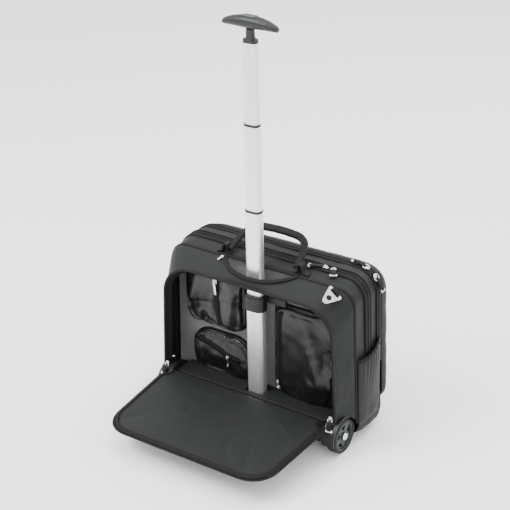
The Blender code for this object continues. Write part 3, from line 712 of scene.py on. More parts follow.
def bag_normal(stations, depth):
    sec = station(stations, depth)

    def find(index, point):
        corner = sec[4]
        centre_x, centre_z = sec[1] - corner, sec[3] - corner
        if abs(point.x) > centre_x and point.z > centre_z:
            return Vector((point.x - math.copysign(centre_x, point.x), 0, point.z - centre_z)).normalized()
        if point.z > centre_z:
            return UP
        return Vector((math.copysign(1, point.x), 0, 0.03)).normalized()

    return find


def strip(
    name, line, outwards, width, thickness, material, body="case", nodes=(), closed=False,
    crown=0.35
):
    """A flat sewn band with rounded edges."""
    half = width / 2
    shape = [
        (-1, 0.15), (-0.9, 0.75), (-0.4, 1), (0.4, 1), (0.9, 0.75), (1, 0.15), (0.9, -crown), (-0.9, -crown)
    ]
    profile = [(half * across, thickness * rise) for across, rise in shape]
    work = bmesh.new()
    sweep(work, line, outwards, profile, closed)
    return new_piece(name, mesh_from(name, work, 50), material, body, nodes)


def piping(name, line, radius, tail, body="case", nodes=(), closed=False):
    """A cord sewn into a seam; tail is the way its flange points."""
    work = bmesh.new()
    sweep(work, line, tail, round_profile(radius, 9), closed)
    return new_piece(name, mesh_from(name, work, 70), WEBBING, body, nodes)


def coil(name, line, outwards, width=0.0030, body="case"):
    """A closed zip: two interlocked rows of coil teeth, drawn as alternating low ribs."""
    height = 0.0012
    beads = spaced(line, 0.0015)
    work = bmesh.new()
    for index, (point, ahead) in enumerate(zip(beads, beads[1:])):
        along = (ahead - point).normalized()
        out = square_to(along, facing(outwards, index, point))
        side = along.cross(out)
        shift = 0.12 * width if index % 2 else -0.12 * width
        middle = point + along * 0.0006 + side * shift + out * height * 0.35
        turn = Matrix((side, along, out)).transposed().to_4x4()
        shape = Matrix.Translation(middle) @ turn @ Matrix.Diagonal((width * 0.40, 0.00042, height * 0.62, 1))
        rib(work, shape)
    return new_piece(name, mesh_from(name, work, 30), COIL, body)


def rib(work, shape):
    """A six-sided rounded bar across the zip."""
    corners = round_profile(1.0, 6)
    solid_rings(work, [[shape @ Vector((side, c, s)) for c, s in corners] for side in (1, -1)])


# Share of the stitch's length, lift from the cloth and thickness
THREAD_SHAPE = ((-0.5, -0.00015, 0.5), (-0.25, 0.0001, 1.0), (0.25, 0.0001, 1.0), (0.5, -0.00015, 0.5))


def stitches(name, line, outwards, body="case", pitch=0.0036, length=0.0023):
    """A row of lock stitches: short threads that dip into the cloth at both ends."""
    beads = spaced(line, pitch)
    work = bmesh.new()
    for index, (point, ahead) in enumerate(zip(beads, beads[1:])):
        along = (ahead - point).normalized()
        out = square_to(along, facing(outwards, index, point))
        side = along.cross(out)
        rings = []
        for share, lift, size in THREAD_SHAPE:
            centre = point + along * (share * length) + out * lift
            rings.append([centre + (side * c + out * s) * size for c, s in round_profile(0.00028, 5)])
        skin_rings(work, rings)
    return new_piece(name, mesh_from(name, work, 60), THREAD, body)


def zip_line(name, line, outwards, width=0.016, thickness=0.0013):
    """Tape, coil and its two rows of stitches along a line on the cloth."""
    strip(name + "_tape", line, outwards, width, thickness, TAPE)
    lifted = [
        point + facing(outwards, index, point).normalized() * thickness for index, point in enumerate(line)
    ]
    coil(name + "_coil", lifted, outwards)
    for side in (-1, 1):
        edge = []
        for index, point in enumerate(lifted):
            out = facing(outwards, index, point)
            across = along_line(lifted, index).cross(out).normalized()
            edge.append(point + across * side * width * 0.36 - out * 0.0001)
        stitches(f"{name}_stitches_{'ab'[side > 0]}", edge, outwards)


def rim_path(inset, depth, pitch=0.005):
    """The opening's edge, shrunk by inset, from the right wheel over the top to the left."""
    sec = station(FRONT_STATIONS, 0.0)
    for number in (0, 1, 3, 4):
        sec[number] -= inset
    points = outline(sec, low=well_top(0.0) + 0.001, sides=40, shoulder=20)
    return spaced([at(x, depth, z) for x, z in points], pitch)


def opening_trims():
    """Piping, zip half and stitches round the front opening."""
    rim_normal = bag_normal(FRONT_STATIONS, 0.0)

    def slant(index, point):
        return (rim_normal(index, point) * -0.62 + TO_FRONT * 0.78).normalized()

    piping("front_piping_cord", rim_path(-0.0014, -0.0016), 0.0033, TO_FRONT, nodes=["front_piping"])
    strip("front_zip_tape", rim_path(0.0034, 0.0062), slant, 0.0110, 0.0012, TAPE)
    coil("front_zip_teeth", rim_path(0.0078, 0.0100), slant, width=0.0026)
    stitches("front_rim_stitches", rim_path(0.0022, 0.0016), slant)


def seam_trims():
    """Piping of the main and rear seams, and the stitches beside the main one."""
    seam = outline_path(FRONT_STATIONS, SEAM_DEPTH, SEAM_DEPTH, 0.005, 0.0004)
    piping("seam_piping_cord", seam, 0.0020, TO_BACK, nodes=["seam_piping"])
    before, after = 0.0475, 0.0572
    line = outline_path(FRONT_STATIONS, before, 0.085, 0.006, 0.0005)
    line = [p for p in line if not (p.z > 0.33 and abs(p.x - SLOT_MIDDLE) < SLOT_HALF + 0.006)]
    half = len([p for p in line if p.x > 0])
    for side, part in (("right", line[:half]), ("left", line[half:])):
        stitches("seam_stitches_front_" + side, part, bag_normal(FRONT_STATIONS, before))
    line = outline_path(MAIN_STATIONS, after, 0.085, 0.006, 0.0005)
    stitches("seam_stitches_main", line, bag_normal(MAIN_STATIONS, after))
    lift = 0.0006
    rear_seam = []
    for x, z in outline(station(REAR_STATIONS, 0.1563), closed=True):
        rear_seam.append(at(x + math.copysign(lift, x), 0.1556, z + (lift if z > 0.2 else -lift)))
    piping("rear_seam_cord", spaced(rear_seam, 0.006, True)[:-1], 0.0021, TO_BACK, closed=True)


def welted_zip(name, depth, low, width, gap, rise, radius):
    """A zip over the main section, between two piped welts."""
    line = outline_path(MAIN_STATIONS, depth, low, 0.006, 0.0010)
    zip_line(name, line, bag_normal(MAIN_STATIONS, depth), width)
    for place, shift in (("front", -gap), ("back", gap)):
        welt = outline_path(MAIN_STATIONS, depth + shift, low, 0.006, rise)
        piping(f"{name}_welt_{place}", welt, radius, TO_BACK)


def slot_trims():
    """Thick zip tape round the trolley slot: along the sagging lip and along the straight back edge."""
    lip, back = [], []
    for step in range(61):
        across = -1 + 2 * step / 60
        x = SLOT_MIDDLE + SLOT_HALF * across
        sec = station(FRONT_STATIONS, 0.0508)
        lip.append(front_point(x, 0.0498, sec[3], sec) + Vector((0, -0.001, 0.0010)))
        back.append(at(x, 0.0552, 0.3398 + 0.0006))
    lip_up = Vector((0, -0.35, 1)).normalized()
    strip("slot_lip_tape", lip, lip_up, 0.0095, 0.0028, TAPE, crown=0.8)
    coil("slot_lip_teeth", [p + Vector((0, 0.0040, 0.0006)) for p in lip], lip_up, width=0.0030)
    stitches("slot_lip_stitches", [p + Vector((0, -0.0028, 0.0012)) for p in lip], lip_up)
    up = Vector((0, -0.25, 1)).normalized()
    strip("slot_back_tape", back, up, 0.0100, 0.0022, TAPE)
    coil("slot_back_teeth", [p + Vector((0, -0.0040, -0.0002)) for p in back], up, width=0.0030)
    stitches("slot_back_stitches", [p + Vector((0, 0.0030, 0.0016)) for p in back], up)


opening_trims()
seam_trims()
welted_zip("main_zip", 0.0965, 0.196, 0.019, 0.0097, 0.0013, 0.0019)
welted_zip("rear_zip", 0.1400, 0.150, 0.017, 0.0087, 0.0012, 0.0017)
slot_trims()


# ---------------------------------------------------------------- padded and soft pieces


def inflate(piece, cell, pressure, cap, pinned=None, slack=0.0, frames=20):
    """Lets the cloth of a closed soft piece settle over its stuffing, within cap of where it began."""
    view = bpy.context.view_layer
    grid = piece.modifiers.new("even_grid", "REMESH")
    grid.mode = "VOXEL"
    grid.voxel_size = cell
    view.update()
    found = piece.evaluated_get(bpy.context.evaluated_depsgraph_get())
    even = bpy.data.meshes.new_from_object(found)
    piece.modifiers.clear()
    materials = list(piece.data.materials)
    piece.data = even
    even.materials.clear()
    for material in materials:
        even.materials.append(material)
    rest = [v.co.copy() for v in even.vertices]
    cloth = piece.modifiers.new("settling", "CLOTH")
    settings = cloth.settings
    settings.quality = 6
    settings.mass = 0.25
    settings.tension_stiffness = 25
    settings.compression_stiffness = 12
    settings.shear_stiffness = 6
    settings.bending_stiffness = 0.25
    settings.use_pressure = True
    settings.uniform_pressure_force = pressure
    settings.shrink_min = -slack
    settings.effector_weights.gravity = 0
    cloth.collision_settings.use_self_collision = False
    cloth.collision_settings.use_collision = False
    if pinned:
        group = piece.vertex_groups.new(name="sewn")
        group.add([i for i, p in enumerate(rest) if pinned(p)], 1.0, "REPLACE")
        settings.vertex_group_mass = "sewn"
    scene = bpy.context.scene
    scene.frame_start, scene.frame_end = 1, frames
    for frame_number in range(1, frames + 1):
        scene.frame_set(frame_number)
        moved = piece.evaluated_get(bpy.context.evaluated_depsgraph_get())
        settled = [v.co.copy() for v in moved.data.vertices]
    piece.modifiers.clear()
    piece.vertex_groups.clear()
    scene.frame_set(1)
    for vertex, start, end in zip(even.vertices, rest, settled):
        move = end - start
        if move.length > cap:
            move *= cap / move.length
        vertex.co = start + move
    even.update()
    piece.data.shade_smooth()
    finer = piece.modifiers.new("finer", "SUBSURF")
    finer.levels = finer.render_levels = 1
    view.update()
    return piece


def pillow_mesh(name, ring, centre, front, back, matrix=None, round_edge=0.35, wrinkle=None):
    """A closed pad between depths front and back, with rounded edges, from an outline of (x, z) pairs."""
    middle_x, middle_z = centre
    half = (back - front) / 2
    mean = (front + back) / 2
    work = bmesh.new()
    levels = [(0.06, 1.0), (0.2, 1.0), (0.35, 1.0), (0.5, 1.0), (0.65, 0.99), (0.78, 0.96), (0.88, 0.88)]
    levels += [(0.94, 0.74), (0.98, 0.5), (1.0, round_edge)]
    loops = [(size, mean - half * depth) for size, depth in levels]
    loops += [(size, mean + half * depth) for size, depth in reversed(levels)]
    rings = []
    for size, depth in loops:
        made = []
        for x, z in ring:
            point = Vector((middle_x + (x - middle_x) * size, depth, middle_z + (z - middle_z) * size))
            if wrinkle:
                point.y += wrinkle(point, size)
            made.append(matrix @ point if matrix else point)
        rings.append(made)
    solid_rings(work, rings)
    return mesh_from(name, work, 50)


def dense(points, pitch):
    """An outline with evenly spread points."""
    return [(p.x, p.y) for p in spaced([Vector((x, z, 0)) for x, z in points], pitch, True)[:-1]]


def arched(width, height, top_radius, foot_radius, x, z):
    half = width / 2
    points = arc((x + half - foot_radius, z + foot_radius), foot_radius, -90, 0, 6)
    points += arc((x + half - top_radius, z + height - top_radius), top_radius, 0, 90, 8)
    points += arc((x - half + top_radius, z + height - top_radius), top_radius, 90, 180, 8)
    points += arc((x - half + foot_radius, z + foot_radius), foot_radius, 180, 270, 6)
    return points


LINING_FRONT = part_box("lining_board")[0][1]
LINING_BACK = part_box("lining_board")[1][1]


def lining():
    """Grey cloth laid over a thin board, bound with black tape beside the trolley."""
    sec = (0.2190, 0.2120, 0.0505, 0.3340, 0.034)
    ring = dense(outline(sec, low=0.0505, sides=20, shoulder=8, across=30), 0.008)

    def pucker(point, size):
        x, z = point.x, point.z
        return 0.0005 * ripple(x * 18, 2.0, z * 13) + 0.0003 * ripple(x * 60, 5.0, z * 40)

    front, back = LINING_FRONT + 0.0004, LINING_BACK - 0.0004
    data = pillow_mesh("lining_cloth", ring, (0, 0.19), front, back, round_edge=0.6, wrinkle=pucker)
    piece = new_piece("lining_cloth", data, LINING, "case", ["lining_board"])
    front = LINING_FRONT - 0.0002
    corner = [(0.0295, 0.262), (0.0285, 0.20), (0.0275, 0.12), (0.0280, 0.075)]
    corner += [(0.034, 0.060), (0.047, 0.0555), (0.075, 0.054)]
    path = spline([(x, front, z) for x, z in corner], 8)
    strip("lining_binding", spaced(path, 0.004), TO_FRONT, 0.0036, 0.0014, TAPE)


def random_folds(generator, count, size, middle):
    """Folds of slack cloth: place, direction, spread, strength (ridge or valley) and length."""
    draw = generator.uniform
    folds = []
    for _ in range(count):
        angle = draw(-0.5, 0.5) + (1.57 if generator.random() < 0.7 else 0.0)
        x = draw(-0.4, 0.4) * size[0] + middle[0]
        z = draw(-0.35, 0.35) * size[1] + middle[1]
        spread = draw(0.006, 0.012)
        strength = draw(0.5, 1.0) * (1 if generator.random() < 0.6 else -1)
        folds.append((x, z, angle, spread, strength, draw(0.03, 0.07)))
    return folds


def fold_place(x, z, angle):
    """A place counted along and across a fold's line, from its place beside the fold's middle."""
    return x * math.cos(angle) + z * math.sin(angle), z * math.cos(angle) - x * math.sin(angle)


def nylon_pocket(node, name, size, x, z, radii, folds, seed):
    """Black nylon pocket sewn to the lining on all sides; the slack cloth folds and bulges."""
    low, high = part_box(node)
    front, back = low[1], high[1]
    width, height = size
    ring = dense(arched(width, height, *radii, x, z), 0.007)
    lines = random_folds(random.Random(seed), folds, size, (x, z + height / 2))

    def fold(point, share):
        if point.y > (front + back) / 2:
            return 0.0
        px, pz = point.x, point.z
        total = 0.0025 * ripple(px * 20 + seed, seed, pz * 16) + 0.0012 * ripple(px * 55, seed, pz * 45)
        for fx, fz, angle, spread, strength, length in lines:
            along, across = fold_place(px - fx, pz - fz, angle)
            across += 0.25 * along * ripple(along * 20, seed, fx * 30)
            total -= 0.0060 * strength * math.exp(-((across / spread) ** 2) - (along / length) ** 2)
        edge = 1 - smooth_step(share, 0.86, 1.0)
        return total * edge + 0.0052 * edge

    data = pillow_mesh(name, ring, (x, z + height / 2), front + 0.0015, back, wrinkle=fold)
    piece = new_piece(name, data, NYLON, "case", [node])
    inflate(piece, 0.0042, 2.2, 0.006, lambda p: p.y > back - 0.004, slack=0.05)
    for vertex in piece.data.vertices:
        vertex.co.y = min(max(vertex.co.y, low[1] - 0.006), back - 0.0001)
    wider = arched(width + 0.004, height + 0.004, *[r + 0.002 for r in radii], x, z - 0.002)
    binding = [Vector((px, LINING_FRONT - 0.0004, pz)) for px, pz in dense(wider, 0.005)]
    strip(name + "_binding", binding, TO_FRONT, 0.0060, 0.0016, TAPE, closed=True)
    return piece


def surface_under(piece):
    """Height of a piece's front face, seen from the front."""
    found = piece.evaluated_get(bpy.context.evaluated_depsgraph_get())
    tree = BVHTree.FromPolygons(
        [v.co for v in found.data.vertices], [p.vertices for p in found.data.polygons]
    )

    def reach(x, z):
        hit = tree.ray_cast(Vector((x, OPEN_Y - 0.2, z)), TO_BACK)[0]
        return hit.y if hit is not None else LINING_FRONT

    return reach


def pocket_zip(name, piece, points, width=0.012):
    reach = surface_under(piece)
    line = []
    for point in spaced(spline([Vector((x, 0, z)) for x, z in points], 10), 0.004):
        near = [reach(point.x + dx, point.z + dz) for dx in (-0.005, 0, 0.005) for dz in (-0.004, 0.004)]
        line.append(Vector((point.x, min(near) - 0.0004, point.z)))
    for _ in range(2):
        line = [line[0]] + [(a + b * 2 + c) / 4 for a, b, c in zip(line, line[1:], line[2:])] + [line[-1]]
    zip_line(name, line, TO_FRONT, width)


def pockets():
    upper = nylon_pocket("upper_pocket", "upper_nylon", (0.136, 0.126), -0.114, 0.172, (0.016, 0.024), 7, 11)
    pocket_zip("upper_zip", upper, [(-0.1025, 0.290), (-0.1015, 0.24), (-0.0995, 0.20), (-0.096, 0.181)])
    lower = nylon_pocket("lower_pocket", "lower_nylon", (0.142, 0.092), -0.101, 0.060, (0.040, 0.012), 6, 23)
    run = [(-0.165, 0.136), (-0.13, 0.129), (-0.10, 0.1215), (-0.072, 0.114), (-0.050, 0.107)]
    pocket_zip("lower_zip", lower, run)
    right = nylon_pocket("right_pocket", "right_nylon", (0.142, 0.202), 0.106, 0.060, (0.022, 0.016), 8, 37)
    pocket_zip("right_zip", right, [(0.0500, 0.252), (0.0495, 0.20), (0.0495, 0.13), (0.0505, 0.073)])
    hem = []
    reach = surface_under(lower)
    for step in range(31):
        share = step / 30
        x = -0.160 + 0.118 * share
        z = 0.1475 - 0.010 * (2 * share - 1) ** 4
        y = reach(x, z) - 0.0004 + 0.0003 * math.sin(share * 60)
        hem.append(Vector((x, y, z + 0.0012 * math.sin(share * 75))))
    strip("lower_gathered_hem", hem, (0, -1, 0.2), 0.006, 0.0018, NYLON)


def hidden_panels():
    """Padded laptop sleeve, divider and organiser inside the main compartment."""
    for node, name, fill, radius, bulge in (
        ("laptop_sleeve", "sleeve_pad", 0.8, 0.012, 0.0015),
        ("divider_pad", "divider_cloth", 0.7, 0.010, 0.0006),
        ("organiser_panel", "organiser_cloth", 0.6, 0.008, 0.0003),
    ):
        low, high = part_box(node)
        middle_x, middle_z = (low[0] + high[0]) / 2, (low[2] + high[2]) / 2
        ring = dense(arched(high[0] - low[0], high[2] - low[2], radius, radius, middle_x, low[2]), 0.012)

        def quilt(point, size, bulge=bulge, middle_x=middle_x, middle_z=middle_z):
            across, up = (point.x - middle_x) * 60, (point.z - middle_z) * 60
            return bulge * 0.5 * math.sin(across) * math.sin(up) * (1 - size)

        data = pillow_mesh(name, ring, (middle_x, middle_z), low[1] + bulge, high[1] - bulge, wrinkle=quilt)
        piece = new_piece(name, data, INNER, "case", [node])
        edge = [Vector((px, (low[1] + high[1]) / 2, pz)) for px, pz in ring]
        thickness = (high[1] - low[1]) * 0.35
        strip(name + "_binding", edge, TO_FRONT, 0.004, thickness, TAPE, closed=True)


HINGE = at(0, -0.001, 0.069)
FLAP_SLOPE = math.radians(4.0)
FLAP_OPEN = Matrix.Translation(HINGE) @ Matrix.Rotation(math.radians(90) + FLAP_SLOPE, 4, "X")
FLAP_LENGTH = 0.233


RIVETS_X, RIVET_REACH = (-0.080, 0.018), 0.105

# Place on the flap, direction, spread, height (valleys are negative) and length
FLAP_FOLDS = [
    (0.118, 0.172, 1.25, 0.0075, -0.0032, 0.042),
    (0.142, 0.160, 1.50, 0.0060, 0.0030, 0.050),
    (0.164, 0.135, 1.62, 0.0065, -0.0030, 0.055),
    (0.186, 0.120, 1.60, 0.0060, 0.0022, 0.050),
    (0.090, 0.196, 0.90, 0.0080, -0.0024, 0.035),
    (0.060, 0.150, 1.35, 0.0100, -0.0014, 0.040),
    (0.140, 0.070, 0.55, 0.0070, 0.0020, 0.035),
    (-0.160, 0.190, 2.20, 0.0090, -0.0020, 0.040),
    (-0.030, 0.045, 0.10, 0.0080, 0.0014, 0.090),
]


def flap_outline(inset=0.0):
    half, foot = 0.2010 - inset, 0.1868 - inset
    top = FLAP_LENGTH - 0.0025 - inset
    corner = 0.054 - inset * 0.5
    taper = 0.008
    right = [(foot, 0.0030 + inset * 0.3), (foot, 0.0205), (half, 0.0300)]
    right += [(half - taper * share, 0.0300 + (top - corner - 0.0300) * share) for share in (0.25, 0.5, 0.75)]
    right += arc((half - taper - corner, top - corner), corner, 0, 90, 10)
    return right + [(-x, z) for x, z in reversed(right)]


def crease_flap(piece):
    """Presses the folds of the slack inner cloth into the flap's upper face."""
    back_to_flap = FLAP_OPEN.inverted()
    for vertex in piece.data.vertices:
        local = back_to_flap @ vertex.co
        if local.y < 0.0015:
            continue
        x, z = local.x, local.z
        edge = min(0.196 - abs(x), z - 0.012, 0.222 - z)
        inside = smooth_step(edge, 0.002, 0.022)
        total = -0.0012 * bump_at(x, 0.150, 0.035) * bump_at(z, 0.13, 0.09)
        for fx, fz, angle, spread, depth_of, length in FLAP_FOLDS:
            along, across = fold_place(x - fx, z - fz, angle)
            total += 0.8 * depth_of * math.exp(-((across / spread) ** 2) - (along / length) ** 2)
        local.y += total * inside
        vertex.co = FLAP_OPEN @ local


def flap():
    """Padded front flap: stiffened cloth panel with its inner folds and rivet dimples."""
    ring = dense(flap_outline(), 0.0065)

    def sag(point, size):
        x, z = point.x, point.z
        inside = 1 - smooth_step(size, 0.80, 1.0)
        total = 0.0012 * ripple(x * 9, 1.0, z * 9) + 0.0007 * ripple(x * 22, 4.0, z * 26)
        for rivet_x in RIVETS_X:
            total -= 0.0034 * bump_at(math.hypot(x - rivet_x, z - RIVET_REACH), 0.0, 0.011)
        return (total - 0.0004) * inside

    data = pillow_mesh(
        "flap_cloth", ring, (0, 0.115), -0.0052, 0.0058, FLAP_OPEN, round_edge=0.5, wrinkle=sag
    )
    piece = new_piece("flap_cloth", data, SHELL, "flap", ["front_flap"])
    inflate(piece, 0.0048, 1.5, 0.0016, slack=0.02)
    crease_flap(piece)
    flap_trims()


def flap_line(inset, lift):
    """The flap's edge, shrunk by inset and lifted from its middle plane."""
    return spaced([FLAP_OPEN @ Vector((x, lift, z)) for x, z in flap_outline(inset)], 0.006)


def flap_trims():
    """Piping, zip half and stitches round the flap."""
    centre = FLAP_OPEN @ Vector((0, 0, 0.10))
    inward = FLAP_OPEN.to_3x3() @ TO_BACK

    def away(index, point):
        flat = point - centre
        return (flat - inward * flat.dot(inward)).normalized()

    def tilted(index, point):
        return (away(index, point) * 0.55 + inward).normalized()

    piping("flap_piping", flap_line(0.0008, 0), 0.0021, inward, "flap")
    strip("flap_zip_tape", flap_line(0.0058, 0.0046), tilted, 0.0105, 0.0014, TAPE, "flap")
    coil("flap_zip_teeth", flap_line(0.0024, 0.0040), away, width=0.0026, body="flap")
    stitches("flap_stitches", flap_line(0.0098, 0.0064), inward, "flap")
    stitches("flap_back_stitches", flap_line(0.011, -0.0052), -inward, "flap")


def hinge_strip():
    """Cloth that joins the flap to the sill, built in one fixed bend."""
    work = bmesh.new()
    rings = []
    for step in range(31):
        x = -0.1855 + 0.371 * step / 30
        wave = 0.0004 * math.sin(step * 2.1)
        bend = [(0.0030, 0.0615), (0.0024, 0.0640 + wave), (0.0008, 0.0665)]
        bend += [(-0.0020, 0.0685), (-0.0060, 0.0690 + wave), (-0.0100, 0.0690)]
        rings.append([at(x, depth, z) for depth, z in bend])
    skin_rings(work, rings, closed=False)
    piece = new_piece("hinge_cloth", mesh_from("hinge_cloth", work, 60), SHELL, None)
    solid_skin(piece, THIN_CLOTH, INNER, 0.0)
    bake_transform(piece)


def inner_floor():
    """Cloth over the base, from the hinge to the lining, cut out round the trolley."""
    work = bmesh.new()
    columns = [-0.1860 + 0.0124 * k for k in range(31)]
    columns = sorted([x for x in columns if abs(x) > 0.024] + [-0.0215, 0.0, 0.0215])
    depths = [0.0090, 0.0130, 0.0170, 0.0205, 0.0285, 0.0365, 0.0445, 0.0515, 0.0560, 0.0630]
    grid = []
    for depth in depths:
        height = 0.0628 + 0.0022 * math.sin(math.pi * (depth - 0.009) / 0.054)
        places = [at(x, depth, height + 0.0009 * ripple(x * 30, depth * 60, 3)) for x in columns]
        grid.append([work.verts.new(place) for place in places])
    for one, other, depth in zip(grid, grid[1:], depths):
        for k in range(len(columns) - 1):
            middle = (columns[k] + columns[k + 1]) / 2
            if abs(middle) < 0.0215 and 0.0204 < depth < 0.0510:
                continue
            work.faces.new((one[k], one[k + 1], other[k + 1], other[k]))
    data = mesh_from("inner_floor_cloth", work, 60)
    piece = new_piece("inner_floor_cloth", data, SHELL, "case")
    solid_skin(piece, THIN_CLOTH, INNER, 0.0)


def side_pocket(side):
    """Gathered pocket on the side of the main section, with an elastic hem."""
    place = "right" if side > 0 else "left"
    node, name = "side_pocket_" + place, "side_pocket_cloth_" + place
    low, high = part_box(node)
    limit = abs(high[0] if side > 0 else low[0]) - 0.0006
    columns, rows_up = 40, 34
    first, last, foot_z = 0.0585, 0.1375, 0.0425
    grid = []
    for up in range(rows_up + 1):
        share_up = up / rows_up
        row = []
        for column in range(columns + 1):
            share = column / columns
            depth = first + (last - first) * share
            top = 0.1865 + 0.019 * share - 0.004 * math.sin(share * math.pi)
            z = foot_z + (top - foot_z) * share_up
            base = side_x(station(MAIN_STATIONS, depth), z)
            belly = abs(math.sin(math.pi * share)) ** 0.45
            open_up = 0.0088 * (0.25 + 0.75 * share_up**0.8) * min(1, share_up / 0.02)
            phase = share * 46 + 2 * ripple(share * 4, share_up * 3, 1)
            gather = 0.0011 * math.sin(phase) * smooth_step(share_up, 0.35, 1.0)
            crumple = 0.0014 * ripple(depth * 40, z * 22, side * 3.0)
            foot = smooth_step(share_up, 0.0, 0.08)
            x = base + 0.0012 + (open_up + gather + crumple) * belly * foot
            row.append(at(side * min(x, limit), depth, z))
        grid.append(row)
    work = bmesh.new()
    skin_rings(work, grid, closed=False)
    piece = new_piece(name, mesh_from(name, work, 60), SHELL, "case", [node])
    solid_skin(piece, 0.0014, INNER, 0.0)
    outwards = Vector((side, 0, 0))
    hem = [p + outwards * 0.0004 for p in grid[-1]]
    strip(
        name + "_hem", spaced(hem, 0.003), (side, 0, 0.15), 0.009, 0.0016, TAPE,
        crown=0.9
    )
    for mark, edge, inwards in (("a", 0, 1), ("b", -1, -1)):
        line = [row[edge] + outwards * 0.0006 + TO_BACK * 0.0012 * inwards for row in grid]
        stitches(f"{name}_stitches_{mark}", spaced(line, 0.004), outwards)
        cord = [p - TO_BACK * 0.0015 * inwards for p in line]
        piping(f"{name}_cord_{mark}", spaced(cord, 0.005), 0.0014, outwards)
    base_line = [p + outwards * 0.0008 + UP * 0.0015 for p in grid[1]]
    stitches(name + "_stitches_foot", spaced(base_line, 0.004), outwards)


def handle():
    """Carry handle: sewn, flattened grip on two webbing ends, leaning back."""
    lean = math.radians(60)
    foot = at(0, 0.066, 0.3540)

    def lifted(x, rise):
        return foot + Vector((x, rise * math.sin(lean), rise * math.cos(lean)))

    left = [(-0.0790, -0.004), (-0.0775, 0.012), (-0.0735, 0.034), (-0.0660, 0.053), (-0.0500, 0.0645)]
    left.append((-0.0250, 0.0680))
    bow = left + [(0, 0.0690)] + [(-x, rise) for x, rise in reversed(left)]
    line = spaced(spline([lifted(x, rise) for x, rise in bow], 8), 0.0035)
    normal = Vector((0, -math.cos(lean), math.sin(lean)))
    work = bmesh.new()
    rings = []
    count = len(line)
    for index, point in enumerate(line):
        along = along_line(line, index)
        out = square_to(along, normal)
        side = along.cross(out)
        share = abs(2 * index / (count - 1) - 1)
        grip = 1 - smooth_step(share, 0.52, 0.62)
        width = 0.0068 + 0.0012 * grip
        thick = 0.0042 + 0.0024 * grip
        ring = []
        for c, s in round_profile(1.0, 20):
            across, rise = math.copysign(abs(c) ** 0.7, c), math.copysign(abs(s) ** 0.75, s)
            ring.append(point + side * width * across + out * thick * rise)
        rings.append(ring)
    solid_rings(work, rings)
    displace(work, lambda p: 0.0003 * noise.noise(p * 120))
    data = mesh_from("handle_grip", work, 50)
    piece = new_piece("handle_grip", data, WEBBING, "handle", ["carry_handle"])
    for side in (-1, 1):
        ends = line[:14] if side < 0 else line[-14:]
        for shift in (-1, 1):
            row = [p + Vector((shift * 0.0042, 0, 0)) + normal * 0.0042 for p in ends]
            stitches(
                f"handle_stitches_{'lr'[side > 0]}{'ab'[shift > 0]}", row, normal, "handle", pitch=0.0032
            )
    middle = line[count // 2 - 26 : count // 2 + 27]
    under = Vector((0, -math.sin(lean), -math.cos(lean)))
    stitches("handle_seam_stitches", [p - normal * 0.0010 + under * 0.0073 for p in middle], under, "handle")
    for side in (-1, 1):
        handle_tab(side)


def handle_tab(side):
    """Webbing folded through the end of the carry handle and sewn to the top."""
    name = "handle_anchor_" + ("right" if side > 0 else "left")
    outer = [(0.1090, 0.3426), (0.1030, 0.3434), (0.0980, 0.3462), (0.0948, 0.3515), (0.0930, 0.3575)]
    inner = [(0.0895, 0.3614), (0.0850, 0.3612), (0.0838, 0.3580), (0.0842, 0.3520), (0.0818, 0.3455)]
    path = [at(side * x, 0.066, z) for x, z in outer + inner + [(0.0765, 0.3426)]]
    band = spaced(spline(path, 6), 0.0022)
    half = [(-0.0011, -0.0085), (0.0011, -0.0085), (0.0013, 0)]
    work = bmesh.new()
    sweep(work, band, TO_BACK, half + [(-x, -y) for x, y in half])
    new_piece(name + "_tab", mesh_from(name + "_tab", work, 40), WEBBING, "case", [name])
    for shift in (-1, 1):
        row = [p + Vector((0, shift * 0.0066, 0.0013)) for p in band[:8]]
        stitches(f"{name}_stitches_{'ab'[shift > 0]}", row, UP, pitch=0.0030, length=0.0019)


# ---------------------------------------------------------------- zip sliders and metal


def mirrored(points):
    """An outline from its right half, read upwards."""
    return points + [(-x, y) for x, y in reversed(points) if x]


def rounded(piece, width):
    """Rounds a piece's sharp edges."""
    edge = piece.modifiers.new("edges", "BEVEL")
    edge.width = width
    edge.segments = 2
    edge.limit_method = "ANGLE"
    return edge


def plate(work, shape, outline_points, thickness):
    """A flat plate with a narrow chamfer."""
    rings = []
    for lift, size in ((1, 0.93), (1 - 0.0004 / thickness, 1), (0.0004 / thickness - 1, 1), (-1, 0.93)):
        rings.append([shape @ Vector((x * size, y * size, lift * thickness / 2)) for x, y in outline_points])
    solid_rings(work, rings)


def loop_piece(work, shape, outline_points, radius):
    """A closed wire."""
    line = [shape @ Vector((x, y, 0)) for x, y in outline_points]
    sweep(work, line, shape.to_3x3() @ UP, round_profile(radius, 8), closed=True)


def frame_of(origin, along, out):
    along = Vector(along).normalized()
    out = square_to(along, Vector(out))
    side = out.cross(along)
    return Matrix.Translation(origin) @ Matrix((side, along, out)).transposed().to_4x4()


SLIDER_HEAD = mirrored([(0, -0.0040), (0.0034, -0.0030), (0.0040, 0.0005), (0.0034, 0.0042), (0, 0.0052)])
SLIDER_BRIDGE = [(-0.0030, 0.0020), (-0.0024, 0.0042), (0, 0.0050), (0.0026, 0.0042), (0.0034, 0.0020)]
BRIDGE_SECTION = [(-0.0008, -0.0011), (0.0008, -0.0011), (0.0008, 0.0011), (-0.0008, 0.0011)]
RING_SIZES = {"webbing": 0.0046, "ring": 0.0072}


def slider_body(work, base, size):
    """Diamond body with two throats, and the bridge over it."""
    plate(work, base @ Matrix.Translation((0, 0, 0.0022)) @ Matrix.Scale(size, 4), SLIDER_HEAD, 0.0011)
    bridge = [base @ Vector((0, y * size, z * size)) for y, z in SLIDER_BRIDGE]
    sweep(work, bridge, base.to_3x3() @ Vector((1, 0, 0)), BRIDGE_SECTION)


